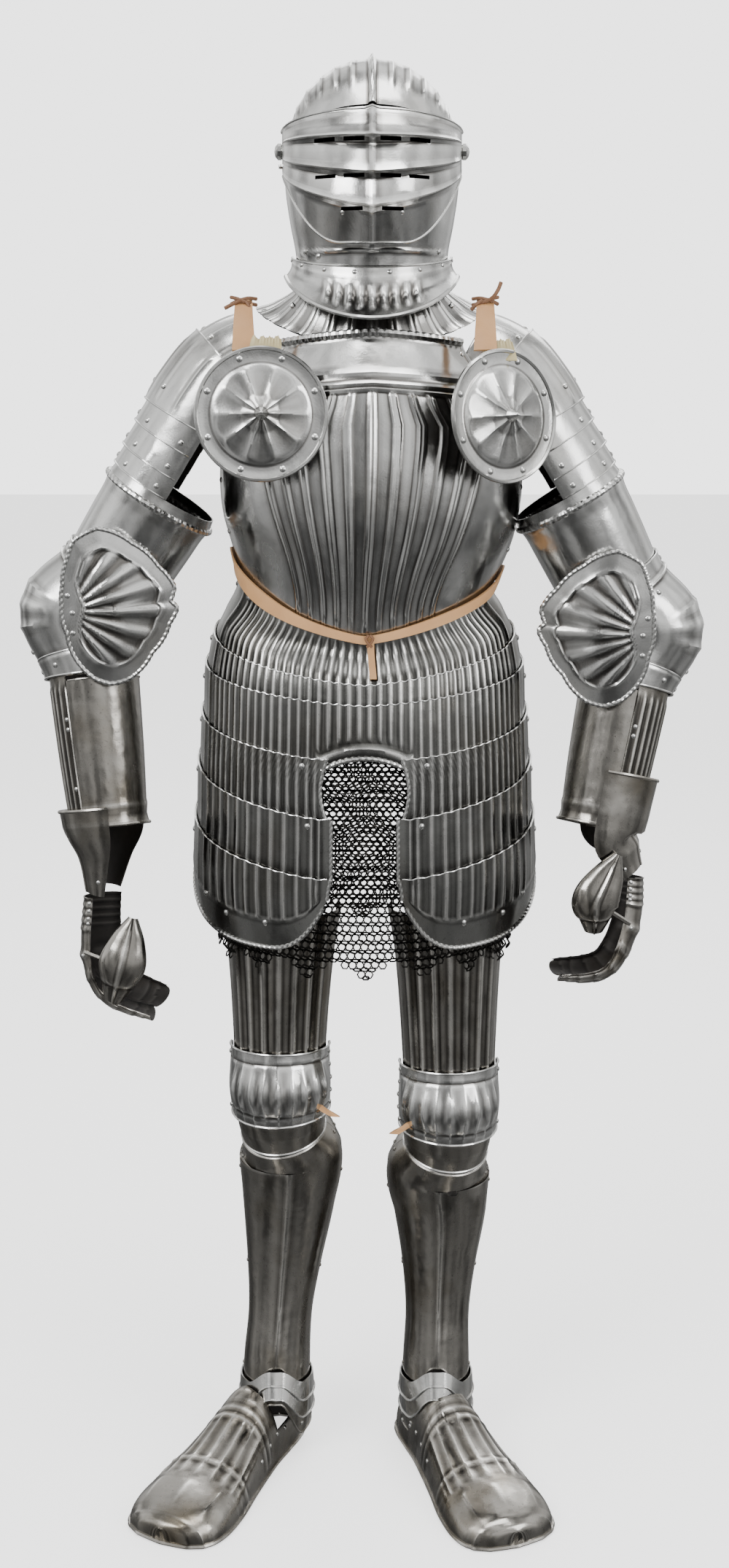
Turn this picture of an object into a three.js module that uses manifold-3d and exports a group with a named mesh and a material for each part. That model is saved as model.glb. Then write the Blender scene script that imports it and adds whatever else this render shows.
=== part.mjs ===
// A suit of fluted plate armour, worn pose with nobody inside, in millimetres.
// +Z is up, the suit faces -Y and the wearer's left side is +X. The sole rims stand on the floor.
// Every plate is a thin wall that follows a form: a tube whose sections are given by a short table.
import * as THREE from 'three';
import { mergeVertices } from 'three/addons/utils/BufferGeometryUtils.js';
import Module from 'manifold-3d';

const wasm = await Module();
wasm.setup();

// ---- driving dimensions (mm; heights in the tables count from the floor) ----
const HOLD_HEIGHT = 1420;        // origin between the shoulders, above the floor
const PLATE = 1.8;               // wall of every steel plate
const LAP = 2.9;                 // step from one lapped plate to the next: wall, gap and facet sag
const MAIL = 2.4;                // wall that stands for the mail
const LEATHER = 2.2;             // straps and belt
const EAR_Z = 1686;              // height of the visor pivots
const LEAN = 9;                  // the helmet and chest stand this far to the left of the hips
const BOLT_SHANK = 5;
const BOLT_HOLE = 5.9;
const BOLT_HEAD = 10;
const DISC_RADIUS = 75;
const FOOT_LENGTH = 340;
const WAIST = { front: 1113, side: 1190, back: 1172, power: 1.25 };

const STEEL = { color: 0xb9bcbd, roughness: 0.3, metalness: 1 };
const DARK_STEEL = { color: 0x8b8983, roughness: 0.42, metalness: 1 };
const RING_STEEL = { color: 0x4a4742, roughness: 0.5, metalness: 1 };
const TAN_LEATHER = { color: 0xb98f60, roughness: 0.7, metalness: 0 };

const group = new THREE.Group();
group.name = 'plate_armour';
group.position.z = -HOLD_HEIGHT;

// ---- small helpers ----
const rad = THREE.MathUtils.degToRad;
const lerp = THREE.MathUtils.lerp;
const clamp = THREE.MathUtils.clamp;
const smooth = (x, a, b) => THREE.MathUtils.smoothstep(x, a, b);
const bump = (x, centre, width) => Math.exp(-(((x - centre) / width) ** 2));

// Turns a table with named columns into rows of named numbers.
function table(columns, rows) {
  return rows.map((row) => Object.fromEntries(columns.map((name, i) => [name, row[i]])));
}

// Smooth value of one column of a table at a place along it.
function along(rows, key, at) {
  const last = rows.length - 1;
  const up = rows[last].at > rows[0].at;
  let i = rows.findIndex((row) => (up ? row.at > at : row.at < at)) - 1;
  if (i === -2) i = last - 1;
  i = clamp(i, 0, last - 1);
  const slope = (k) => {
    const a = rows[Math.max(k - 1, 0)];
    const b = rows[Math.min(k + 1, last)];
    return (b[key] - a[key]) / (b.at - a.at);
  };
  const span = rows[i + 1].at - rows[i].at;
  const t = (at - rows[i].at) / span;
  const [p0, p1] = [rows[i][key], rows[i + 1][key]];
  if (t < 0) return p0 + slope(0) * (at - rows[0].at);
  if (t > 1) return p1 + slope(last) * (at - rows[last].at);
  const [m0, m1] = [slope(i) * span, slope(i + 1) * span];
  const [t2, t3] = [t * t, t * t * t];
  return (2 * t3 - 3 * t2 + 1) * p0 + (t3 - 2 * t2 + t) * m0 + (3 * t2 - 2 * t3) * p1 + (t3 - t2) * m1;
}

// A form is a tube. Its table gives, at each place along it, the middle (x, y, z), the half width w,
// the depth in front f and the depth behind b. Angle 0 is the front and +90 is the outer side.
class Form {
  constructor(rows, side = 1, face = [0, -1, 0]) {
    this.rows = rows;
    this.side = side;
    this.face = new THREE.Vector3(side * face[0], face[1], face[2]);
  }

  middle(at) {
    const [x, y, z] = ['x', 'y', 'z'].map((key) => along(this.rows, key, at));
    return new THREE.Vector3(this.side * x, y, z);
  }

  // Axis, front and side directions of the section at a place.
  frame(at) {
    const axis = this.middle(at + 2).sub(this.middle(at - 2)).normalize();
    const front = this.face.clone();
    front.addScaledVector(axis, -front.dot(axis)).normalize();
    const out = new THREE.Vector3().crossVectors(front, axis).normalize();
    out.multiplyScalar(axis.z > 0 ? -this.side : this.side);
    return { axis, front, out };
  }

  skin(at, degrees) {
    const { front, out } = this.frame(at);
    const angle = rad(degrees);
    const depth = along(this.rows, Math.cos(angle) >= 0 ? 'f' : 'b', at);
    return this.middle(at)
      .addScaledVector(out, along(this.rows, 'w', at) * Math.sin(angle))
      .addScaledVector(front, depth * Math.cos(angle));
  }

  // A point off the skin by some distance along the outward normal.
  point(at, degrees, lift) {
    const p = this.skin(at, degrees);
    const alongAxis = this.skin(at + 1, degrees).sub(this.skin(at - 1, degrees));
    const round = this.skin(at, degrees + 0.5).sub(this.skin(at, degrees - 0.5));
    const normal = new THREE.Vector3().crossVectors(round, alongAxis).normalize();
    const outward = p.clone().sub(this.middle(at));
    if (normal.dot(outward) < 0) normal.negate();
    return p.addScaledVector(normal, lift);
  }
}

// Closed wall between an outer and an inner sheet. place(u, v, inner) gives a point; the wall goes
// round when wrap is set, and an end or a side may be left unstitched where the sheet closes on itself.
function wall(place, cols, rows, { wrap = false, start = true, end = true } = {}) {
  const points = [];
  const keys = new Map();
  const index = (p) => {
    const key = [p.x, p.y, p.z].map((value) => Math.round(value * 1000)).join();
    if (!keys.has(key)) {
      keys.set(key, points.length);
      points.push(p);
    }
    return keys.get(key);
  };
  const column = (j) => (wrap && j === cols ? 0 : j) / cols;
  const sheet = [false, true].map((inner) =>
    Array.from({ length: rows + 1 }, (_, i) =>
      Array.from({ length: cols + 1 }, (__, j) => index(place(column(j), i / rows, inner)))));
  const faces = [];
  const quad = (a, b, c, d) => {
    for (const [p, q, r] of [[a, b, c], [a, c, d]]) {
      if (p !== q && q !== r && r !== p) faces.push(p, q, r);
    }
  };
  const [outer, inner] = sheet;
  for (let i = 0; i < rows; i += 1) {
    for (let j = 0; j < cols; j += 1) {
      quad(outer[i][j], outer[i][j + 1], outer[i + 1][j + 1], outer[i + 1][j]);
      quad(inner[i][j], inner[i + 1][j], inner[i + 1][j + 1], inner[i][j + 1]);
    }
    if (!wrap) {
      quad(outer[i][0], outer[i + 1][0], inner[i + 1][0], inner[i][0]);
      quad(outer[i + 1][cols], outer[i][cols], inner[i][cols], inner[i + 1][cols]);
    }
  }
  for (let j = 0; j < cols; j += 1) {
    if (start) quad(outer[0][j + 1], outer[0][j], inner[0][j], inner[0][j + 1]);
    if (end) quad(outer[rows][j], outer[rows][j + 1], inner[rows][j + 1], inner[rows][j]);
  }
  const geometry = new THREE.BufferGeometry().setFromPoints(points);
  geometry.setIndex(volume(points, faces) < 0 ? faces.reverse() : faces);
  return geometry;
}

function volume(points, faces) {
  let sum = 0;
  for (let i = 0; i < faces.length; i += 3) {
    const [a, b, c] = [0, 1, 2].map((k) => points[faces[i + k]]);
    sum += a.dot(new THREE.Vector3().crossVectors(b, c));
  }
  return sum;
}

// A plate of a form. span(v) gives its two side angles and edge(angle, v) its place along the form,
// with v from 0 at the first edge to 1 at the last.
function plate(form, { span, edge, cols, rows, lift = 0, thick = PLATE, relief = () => 0, wrap = false }) {
  const place = (u, v, inner) => {
    const [from, to] = span(v);
    const degrees = lerp(from, to, u);
    const at = edge(degrees, v);
    return form.point(at, degrees, lift + relief(degrees, at, v) - (inner ? thick : 0));
  };
  return wall(place, cols, rows, { wrap });
}

const still = (from, to) => () => [from, to];
const between = (first, second) => (degrees, v) => lerp(first(degrees), second(degrees), v);
const level = (value) => () => value;
const crowded = (edge) => (degrees, v) => edge(degrees, v ** 1.7);   // rows closer together at the start

function solid(geometry) {
  const bare = geometry.clone();
  bare.deleteAttribute('normal');
  bare.deleteAttribute('uv');
  const merged = mergeVertices(bare, 1e-4);
  return new wasm.Manifold(new wasm.Mesh({
    numProp: 3,
    vertProperties: new Float32Array(merged.attributes.position.array),
    triVerts: new Uint32Array(merged.index.array),
  }));
}

function shape(manifold) {
  const mesh = manifold.getMesh();
  const geometry = new THREE.BufferGeometry();
  geometry.setAttribute('position', new THREE.BufferAttribute(new Float32Array(mesh.vertProperties), 3));
  geometry.setIndex(new THREE.BufferAttribute(new Uint32Array(mesh.triVerts), 1));
  return geometry;
}

const joined = (...geometries) => shape(geometries.map(solid).reduce((a, b) => a.add(b)));
const cut = (geometry, ...tools) => shape(tools.map(solid).reduce((a, b) => a.subtract(b), solid(geometry)));

function part(name, geometry, finish) {
  const mesh = new THREE.Mesh(geometry, new THREE.MeshStandardMaterial(finish));
  mesh.name = name;
  group.add(mesh);
  return mesh;
}

const sideName = (side) => (side < 0 ? 'right' : 'left');

// A pin along X with its middle at (x, y, z).
function pinX(radius, length, x, y, z, sides = 12) {
  return new THREE.CylinderGeometry(radius, radius, length, sides).rotateZ(Math.PI / 2).translate(x, y, z);
}

// ---- helmet ----
const SKULL = { width: 102, front: 107, top: 106, back: 116 };
// Distance from the pivots to the skull in the middle plane, from 0 degrees ahead to 180 behind.
const skullReach = (turn) => {
  const depth = Math.cos(turn) > 0 ? SKULL.front : SKULL.back;
  return Math.hypot(depth * Math.cos(turn), SKULL.top * Math.sin(turn));
};
const NAPE = table(['at', 'w', 'b'], [
  [EAR_Z, 102, 116],
  [1650, 101, 113],
  [1605, 95, 100],
  [1568, 89, 89],
]);

function skullDome() {
  const domeRows = 6;
  const napeRows = 2;
  const brow = 24;
  const place = (u, v, inner) => {
    const step = v * (domeRows + napeRows);
    const inset = inner ? PLATE : 0;
    const sweep = rad(lerp(-90, 90, u));
    const lowered = Math.max(step - domeRows, 0) / napeRows;
    const height = lerp(EAR_Z, NAPE[NAPE.length - 1].at, lowered);
    const turn = rad(lerp(brow, 180, Math.min(step / domeRows, 1)));
    if (lowered === 0) {
      const width = SKULL.width - inset;
      const r = (skullReach(turn) - inset) * Math.cos(sweep);
      return new THREE.Vector3(width * Math.sin(sweep), -r * Math.cos(turn), EAR_Z + r * Math.sin(turn));
    }
    const width = along(NAPE, 'w', height) - inset;
    const back = along(NAPE, 'b', height) - inset;
    return new THREE.Vector3(width * Math.sin(sweep), back * Math.cos(sweep), height);
  };
  return wall(place, 14, domeRows + napeRows);
}

// Low comb from the brow over the top to the nape, its foot sunk in the dome.
function skullComb() {
  const height = 7;
  const foot = -1;
  const half = 3.2;
  const place = (u, v, inner) => {
    const turn = rad(lerp(27, 178, v));
    const base = skullReach(turn);
    const crest = base + height * smooth(Math.sin(turn), 0, 0.45);
    const r = inner ? base + foot : lerp(crest - 2, crest, 1 - Math.abs(2 * u - 1));
    return new THREE.Vector3(lerp(-half, half, u), -r * Math.cos(turn), EAR_Z + r * Math.sin(turn));
  };
  return wall(place, 2, 8);
}

const CHEEK = new Form(table(['at', 'x', 'y', 'z', 'w', 'f', 'b'], [
  [1710, 0, 0, 1710, 105.6, 108, 108],
  [1680, 0, 0, 1680, 105.6, 110, 108],
  [1640, 0, 0, 1640, 104.6, 112, 108],
  [1600, 0, 0, 1600, 99, 112, 100],
  [1568, 0, 0, 1568, 93, 104, 94],
  [1546, 0, 0, 1546, 92, 102, 93],
]));

function bevor() {
  const topEdge = (degrees) => lerp(1600, 1704, smooth(Math.abs(degrees), 30, 86));
  const chinKeel = (degrees, at) => 5 * bump(degrees, 0, 10) * smooth(at, 1552, 1590);
  const face = plate(CHEEK, {
    span: still(-97, 97), edge: between(topEdge, level(1548)), cols: 14, rows: 3, relief: chinKeel,
  });
  const bolts = [-1, 1].flatMap((side) => [
    pinX(BOLT_SHANK, 10, side * 109, 0, EAR_Z, 10),
    pinX(BOLT_HEAD, 3, side * 112.6, 0, EAR_Z, 10),
  ]);
  return joined(face, ...bolts);
}

// The bellows of the visor: each row runs from the middle of the face back to the pivots.
const BELLOWS = table(['front', 'depth', 'side'], [
  [1722, 122, 1704],
  [1703, 137, 1700],
  [1690, 153, 1696],
  [1682, 141, 1693],
  [1650, 158, 1684],
  [1642, 146, 1681],
  [1614, 154, 1674],
  [1606, 143, 1672],
  [1573, 128, 1662],
]);

function visor() {
  const half = 97;
  const width = 108.4;
  const place = (u, v, inner) => {
    const row = BELLOWS[Math.round(v * (BELLOWS.length - 1))];
    const inset = inner ? PLATE : 0;
    const degrees = lerp(-half, half, u);
    const back = Math.abs(degrees) / half;
    const lowest = row === BELLOWS[BELLOWS.length - 1];
    const rise = lowest ? smooth(back, 0.2, 0.95) : back ** 1.5;
    const z = lerp(row.front, row.side, rise);
    const depth = Math.cos(rad(degrees)) > 0 ? row.depth - inset : width - inset;
    const x = (width - inset) * Math.sin(rad(degrees));
    return new THREE.Vector3(x, -depth * Math.cos(rad(degrees)), z);
  };
  const shell = wall(place, 16, BELLOWS.length - 1);
  const slots = [];
  const slotRow = (z, starts, length) => {
    for (const start of starts) {
      for (const side of [-1, 1]) {
        slots.push(new THREE.BoxGeometry(length, 70, 3.6).translate(side * (start + length / 2), -140, z));
      }
    }
  };
  slotRow(1686.5, [9, 43], 24);
  slotRow(1646, [9, 42], 24);
  slotRow(1610, [11], 25);
  const holes = [-1, 1].map((side) => pinX(BOLT_HOLE, 12, side * 108, 0, EAR_Z, 10));
  return cut(shell, ...slots, ...holes);
}

function helmetCollar() {
  const rim = table(['at', 'w', 'f', 'b'], [
    [0, 97, 108, 99],
    [0.5, 99, 119, 107],
    [1, 105, 152, 132],
  ]);
  const place = (u, v, inner) => {
    const degrees = 360 * u;
    const forward = Math.cos(rad(degrees));
    const inset = inner ? PLATE : 0;
    const low = lerp(1541, forward > 0 ? 1488 : 1500, Math.abs(forward) ** 1.4);
    const high = lerp(1563, 1547, Math.abs(forward));
    const depth = along(rim, forward >= 0 ? 'f' : 'b', v) - inset;
    const x = (along(rim, 'w', v) - inset) * Math.sin(rad(degrees));
    return new THREE.Vector3(x, -depth * forward, lerp(high, low, v ** 0.8));
  };
  return wall(place, 24, 2, { wrap: true });
}

for (const [name, geometry] of [
  ['helmet_skull', joined(skullDome(), skullComb())],
  ['helmet_bevor', bevor()],
  ['visor', visor()],
  ['helmet_collar', helmetCollar()],
]) {
  part(name, geometry, STEEL).position.x = LEAN;
}

// ---- torso ----
const TORSO = new Form(table(['at', 'x', 'y', 'z', 'w', 'f', 'b'], [
  [1480, LEAN, 0, 1480, 116, 124, 98],
  [1460, LEAN, 0, 1460, 134, 141, 108],
  [1410, LEAN, 0, 1410, 166, 166, 122],
  [1350, LEAN, 0, 1350, 182, 177, 128],
  [1290, 0.9 * LEAN, 0, 1290, 187, 182, 127],
  [1240, 0.7 * LEAN, 0, 1240, 181, 178, 119],
  [1190, 0.35 * LEAN, 0, 1190, 165, 162, 108],
  [1150, 0.1 * LEAN, 0, 1150, 156, 147, 102],
  [1105, 0, 0, 1105, 160, 138, 104],
]));

function waistline(degrees) {
  const turn = Math.abs(degrees > 180 ? degrees - 360 : degrees) / 90;
  if (turn <= 1) return lerp(WAIST.front, WAIST.side, turn ** WAIST.power);
  return lerp(WAIST.side, WAIST.back, turn - 1);
}

// Rows of the breastplate: height in the middle and at the sides, and how far round it reaches.
const BREAST = table(['at', 'mid', 'side', 'half'], [
  [0, 1470, 1459, 50],
  [1, 1458, 1447, 50],
  [2, 1414, 1402, 52],
  [3, 1392, 1372, 56],
  [4, 1350, 1340, 70],
  [5, 1318, 1312, 90],
  [6, 1268, 1280, 93],
  [7, 1214, 1250, 93],
  [8, 1162, 1220, 93],
  [9, WAIST.front, WAIST.side + 1, 93],
]);
const FLUTES = 12;               // hollows across the breastplate
const FLUTE_SPAN = 52;           // degrees either side of the middle at the top
const FLUTE_HEIGHT = 2.6;

function breastplate() {
  const rows = BREAST.length - 1;
  const fluteAt = (degrees, v) => {
    const reach = lerp(FLUTE_SPAN, 34, smooth(v, 0.3, 1));
    const place = (degrees / reach) * (FLUTES / 2);
    const across = smooth(FLUTES / 2 + 0.5 - Math.abs(place), 0, 0.5);
    const down = smooth(v, 0.2, 0.34) * smooth(1 - v, 0, 0.12);
    return FLUTE_HEIGHT * across * down * (1 - Math.abs(Math.sin(Math.PI * place)));
  };
  const stopRib = (v) => 4 * bump(v * rows, 2, 0.3) + 4 * bump(v * rows, 0, 0.4);
  return plate(TORSO, {
    cols: 30,
    rows,
    span: (v) => {
      const half = BREAST[Math.round(v * rows)].half;
      return [-half, half];
    },
    edge: (degrees, v) => {
      const row = BREAST[Math.round(v * rows)];
      return lerp(row.mid, row.side, (Math.abs(degrees) / row.half) ** WAIST.power);
    },
    relief: (degrees, at, v) => stopRib(v) + fluteAt(degrees, v),
  });
}

function backplate() {
  const top = (degrees) => lerp(1462, 1330, smooth(Math.abs(degrees - 180), 48, 92));
  return plate(TORSO, {
    span: still(86, 274), edge: between(top, (degrees) => waistline(degrees) + 1),
    cols: 14, rows: 5, lift: -LAP - 1.2,
  });
}

// The gorget lies like a small cape from the neck to the shoulders, under the breast and back.
const GORGET = new Form(table(['at', 'x', 'y', 'z', 'w', 'f', 'b'], [
  [0, 0, 0, 1560, 84, 92, 84],
  [1, 0, 0, 1528, 90, 98, 88],
  [2, 0, 0, 1510, 118, 108, 94],
  [3, 0, 0, 1503, 142, 116, 98],
]));

function gorget() {
  const place = (u, v, inner) => {
    const degrees = 360 * u;
    const [s, c] = [Math.sin(rad(degrees)), Math.cos(rad(degrees))];
    const at = v * 3;
    const inset = inner ? PLATE : 0;
    const depth = along(GORGET.rows, c >= 0 ? 'f' : 'b', at) - inset;
    const sag = 46 * smooth(v, 0.2, 1) * Math.abs(c) ** 1.5;
    const z = along(GORGET.rows, 'z', at) - sag - (inner ? 1.2 * v : 0);
    return new THREE.Vector3((along(GORGET.rows, 'w', at) - inset) * s, -depth * c, z);
  };
  return wall(place, 24, 3, { wrap: true });
}

part('gorget', gorget(), STEEL).position.x = LEAN;
part('breastplate', breastplate(), STEEL);
part('backplate', backplate(), STEEL);

// ---- fauld, culet, tassets and mail ----
class SkirtForm extends Form {
  // Follows the torso at the waistline and swings out to its own table below it.
  skin(at, degrees) {
    const away = smooth(waistline(degrees) - at, 0, 52);
    return TORSO.skin(at, degrees).lerp(super.skin(at, degrees), away);
  }
}

const SKIRT = new SkirtForm(table(['at', 'x', 'y', 'z', 'w', 'f', 'b'], [
  [1190, 0, 0, 1190, 165, 160, 106],
  [1165, 0, 0, 1165, 163, 150, 106],
  [1135, 0, 0, 1135, 175, 142, 112],
  [1110, 0, 0, 1110, 187, 140, 122],
  [1085, 0, 0, 1085, 193, 152, 128],
  [1060, 0, 0, 1060, 197, 162, 133],
  [1010, 0, 0, 1010, 199, 172, 138],
  [945, 0, 0, 945, 202, 177, 142],
  [880, 0, 0, 880, 204, 179, 144],
  [800, 0, 0, 800, 207, 179, 144],
  [735, 0, 0, 735, 201, 176, 140],
]));
const SIDE_SEAM = 98;

function waistBelt() {
  const wide = (degrees) => lerp(5, 11, smooth(Math.abs(degrees), 0, 80));
  const place = (v) => (degrees) => waistline(degrees) + (1 - 2 * v) * wide(degrees);
  const ring = plate(SKIRT, {
    span: still(-180, 180), edge: (degrees, v) => place(v)(degrees), cols: 28, rows: 1, wrap: true,
    lift: LAP + 2.6, thick: LEATHER,
  });
  const freeEnd = plate(SKIRT, {
    span: still(0.8, 4.2), edge: between(level(1114), level(1066)), cols: 1, rows: 3,
    lift: LAP + 2.6, thick: LEATHER,
  });
  return joined(ring, freeEnd);
}

part('waist_belt', waistBelt(), TAN_LEATHER);

// Edge heights of the lames: in the middle (or at the inner corner) and at the side seam.
const rising = (low, high, start = 0) => (degrees) =>
  lerp(low, high, (Math.max(Math.abs(degrees) - start, 0) / (90 - start)) ** 1.3);
const belowWaist = (degrees) => waistline(degrees) - 3;
const FAULD_EDGE = {
  a: rising(1061, 1111),
  b: rising(1037, 1070),
  c: rising(974, 1009, 15),
  d: rising(902, 947, 14),
  e: rising(829, 876, 14),
};
const lowered = (edge, drop) => (degrees) => edge(degrees) - drop;

const crotchArch = (degrees) => lerp(FAULD_EDGE.c(degrees) - 9, 962, 1 - smooth(Math.abs(degrees), 10, 17));
const FAULD = [
  { top: belowWaist, bottom: lowered(FAULD_EDGE.a, 9) },
  { top: FAULD_EDGE.a, bottom: lowered(FAULD_EDGE.b, 9) },
  { top: FAULD_EDGE.b, bottom: crotchArch },
];
FAULD.forEach(({ top, bottom }, i) => {
  const lame = plate(SKIRT, {
    span: still(-SIDE_SEAM, SIDE_SEAM),
    edge: i === 0 ? crowded(between(top, bottom)) : between(top, bottom),
    cols: 22,
    rows: i === 0 ? 3 : 2,
    lift: LAP * i,
  });
  part(`fauld_${i + 1}`, lame, STEEL);
});

// The culet covers the hips behind, its sides under the lames of the fauld.
part('culet', plate(SKIRT, {
  span: still(SIDE_SEAM + 1.2, 360 - SIDE_SEAM - 1.2),
  edge: crowded(between(belowWaist, level(925))),
  cols: 12,
  rows: 5,
}), STEEL);

const TASSET_ROUND = { middle: 37, inner: 12, outer: 97, drop: 66, low: 736 };
function tassetHem(degrees) {
  const { middle, inner, outer, drop, low } = TASSET_ROUND;
  const turn = Math.abs(degrees);
  const off = turn > middle ? (turn - middle) / (outer - middle) : (middle - turn) / (middle - inner);
  return low + drop * off ** (turn > middle ? 2.4 : 3);
}

const TASSETS = [
  { top: FAULD_EDGE.c, bottom: lowered(FAULD_EDGE.d, 9), inner: [12.5, 12] },
  { top: FAULD_EDGE.d, bottom: lowered(FAULD_EDGE.e, 9), inner: [10.8, 10.8] },
  { top: FAULD_EDGE.e, bottom: tassetHem, inner: [10.8, 12] },
];
for (const side of [-1, 1]) {
  TASSETS.forEach(({ top, bottom, inner }, i) => {
    const lame = plate(SKIRT, {
      span: (v) => [side * lerp(inner[0], inner[1], v), side * SIDE_SEAM],
      edge: between(top, bottom),
      cols: 10,
      rows: i === 2 ? 3 : 2,
      lift: LAP * (3 + i),
    });
    part(`tasset_${sideName(side)}_${i + 1}`, lame, STEEL);
  });
}

// Mail skirt: one open ring of mail with a dagged hem, inside fauld, culet and tassets.
const MAIL_FORM = new Form(table(['at', 'x', 'y', 'z', 'w', 'f', 'b'], [
  [1040, 0, 0, 1040, 184, 158, 122],
  [940, 0, 0, 940, 190, 164, 130],
  [820, 0, 0, 820, 193, 164, 134],
  [690, 0, 0, 690, 188, 146, 130],
]));
const DAGS = 16;
const mailHem = (degrees) => 712 - 24 * (1 - Math.abs(Math.sin(rad(degrees * DAGS / 2))));
part('mail_skirt', plate(MAIL_FORM, {
  span: still(-180, 180),
  edge: between(level(1030), mailHem),
  cols: 2 * DAGS,
  rows: 2,
  thick: MAIL,
  wrap: true,
}), RING_STEEL);

// ---- besagews: round plates before the armpits, each hung on a strap ----
const DISC_PROFILE = table(['r', 'front', 'back'], [
  [0, 31, 27],
  [8, 16, 13],
  [54, 4, 2],
  [57, 1.8, 0],
  [DISC_RADIUS, 2.6, 0],
]);
const DISCS = [
  { side: -1, at: [-119, -178, 1379], yaw: 3, pitch: -6 },
  { side: 1, at: [161, -160, 1376], yaw: 35, pitch: -6 },
];

function disc() {
  const front = DISC_PROFILE.map(({ r, front: y }) => new THREE.Vector2(r, y));
  const back = DISC_PROFILE.toReversed().map(({ r, back: y }) => new THREE.Vector2(r, y));
  const outline = [...back, ...front].reverse();
  return new THREE.LatheGeometry([...outline, outline[0]], 18);
}

for (const { side, at, yaw, pitch } of DISCS) {
  const mesh = part(`besagew_${sideName(side)}`, shape(solid(disc())), STEEL);
  mesh.rotation.set(rad(180 + pitch), 0, rad(yaw), 'ZYX');
  mesh.position.set(...at);
}

// Strap from the shoulder down to each disc, with the knot of its lace on top.
const STRAP = { top: [143, -84, 1512], low: [140, -150, 1452], wide: 27, narrow: 20 };
for (const side of [-1, 1]) {
  const place = (u, v, inner) => {
    const half = lerp(STRAP.narrow, STRAP.wide, v) / 2;
    const [x, y, z] = [0, 1, 2].map((axis) => lerp(STRAP.top[axis], STRAP.low[axis], v));
    const bow = 5 * Math.sin(Math.PI * v);
    return new THREE.Vector3(side * (x + lerp(-half, half, u)), y - bow + (inner ? LEATHER : 0), z);
  };
  part(`besagew_strap_${sideName(side)}`, wall(place, 1, 4), TAN_LEATHER);
}

// ---- arms: one form from the shoulder to the wrist carries every plate ----
const ARMS = [
  { side: -1, elbow: [352, 14, 1122], wrist: [324, -45, 862], wing: [305, -75, 1143], seam: 32 },
  { side: 1, elbow: [345, 14, 1102], wrist: [296, -42, 862], wing: [289, -75, 1115], seam: 10 },
];
const RING_AT = 236;             // place of the roped ring along the arm
const ELBOW_AT = 419;
const COP_BULGE = 23;

function armForm({ side, elbow, wrist }) {
  const ring = [257, 2, 1268];
  const mix = (a, b, t) => a.map((value, i) => lerp(value, b[i], t));
  return new Form(table(['at', 'x', 'y', 'z', 'w', 'f', 'b'], [
    [0, 108, 8, 1450, 52, 58, 56],
    [57, 157, 4, 1419, 64, 70, 70],
    [100, 186, 2, 1383, 67, 71, 72],
    [142, 208, 1, 1347, 67, 71, 72],
    [RING_AT, ...ring, 70, 71, 71],
    [335, ...mix(ring, elbow, 0.6), 66, 66, 66],
    [ELBOW_AT, ...elbow, 60, 61, 61],
    [489, ...mix(elbow, wrist, 0.27), 57, 59, 59],
    [600, ...mix(elbow, wrist, 0.68), 53, 54, 54],
    [690, ...wrist, 48, 48, 48],
  ]), side);
}

// Shoulder lames: the second one lies over all the others.
const LAMES = table(['from', 'to', 'layer'], [
  [20, 64, 4],
  [57, 131, 5.4],
  [124, 163, 4.2],
  [156, 196, 3.1],
  [189, 221, 2],
]);
const WING = table(['turn', 'reach'], [
  [-1, 74], [6, 66], [19, 75], [44, 72], [75, 81], [91, 92], [102, 99], [121, 96], [133, 84], [156, 70],
  [177, 66], [208, 68], [239, 85], [252, 92], [265, 95], [278, 90], [307, 70], [342, 67],
]);

// Fan plate before the elbow: an outline about its middle, dished like a shallow shell.
function elbowWing({ side, wing }) {
  const rings = 3;
  const dish = 9;
  const place = (u, v, inner) => {
    const { turn, reach } = WING[Math.round(u * WING.length) % WING.length];
    const r = reach * (1 - v);
    const depth = dish * Math.cos((1 - v) * Math.PI * 0.62) - (inner ? PLATE : 0);
    const x = r * Math.cos(rad(turn));
    const z = r * Math.sin(rad(turn));
    return new THREE.Vector3(side * (wing[0] - x), wing[1] - depth + 0.16 * x, wing[2] + z);
  };
  return wall(place, WING.length, rings, { wrap: true, end: false });
}

// The cuff of the gauntlet and the plates of its hand follow their own forms.
const HANDS = [
  {
    side: -1,
    open: [-8, 222],
    cuff: [[327, -40, 884], [324, -46, 851], [326, -48, 820]],
    wrist: [331, -50, 778],
    knuckle: [332, -60, 706],
    bend: [314, -72, 662],
    tips: [258, -80, 636],
    face: [0.34, -0.9, -0.2],
    thumb: [[290, -103, 757], [304, -112, 700], [318, -108, 650]],
  },
  {
    side: 1,
    open: [-14, 200],
    cuff: [[313, -27, 926], [300, -43, 851], [318, -44, 824]],
    wrist: [334, -46, 802],
    knuckle: [326, -58, 740],
    bend: [300, -72, 692],
    tips: [240, -78, 682],
    face: [0, -1, 0],
    thumb: [[316, -100, 838], [289, -106, 780], [288, -100, 738]],
  },
];

function cuffForm({ side, cuff, wrist }) {
  return new Form(table(['at', 'x', 'y', 'z', 'w', 'f', 'b'], [
    [0, ...cuff[0], 61, 60, 60],
    [26, ...cuff[1], 55.5, 55.5, 55.5],
    [60, ...cuff[2], 38, 48, 48],
    [110, ...wrist, 24, 40, 41],
  ]), side);
}

function handForm({ side, wrist, knuckle, bend, tips, face }) {
  const below = wrist.map((value, i) => lerp(value, knuckle[i], -0.12));
  return new Form(table(['at', 'x', 'y', 'z', 'w', 'f', 'b'], [
    [-9, ...below, 22, 39, 39],
    [0, ...wrist, 22, 39, 39],
    [70, ...knuckle, 25, 41, 41],
    [120, ...bend, 22, 42, 42],
    [178, ...tips, 12, 38, 40],
  ]), side, face);
}

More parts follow.
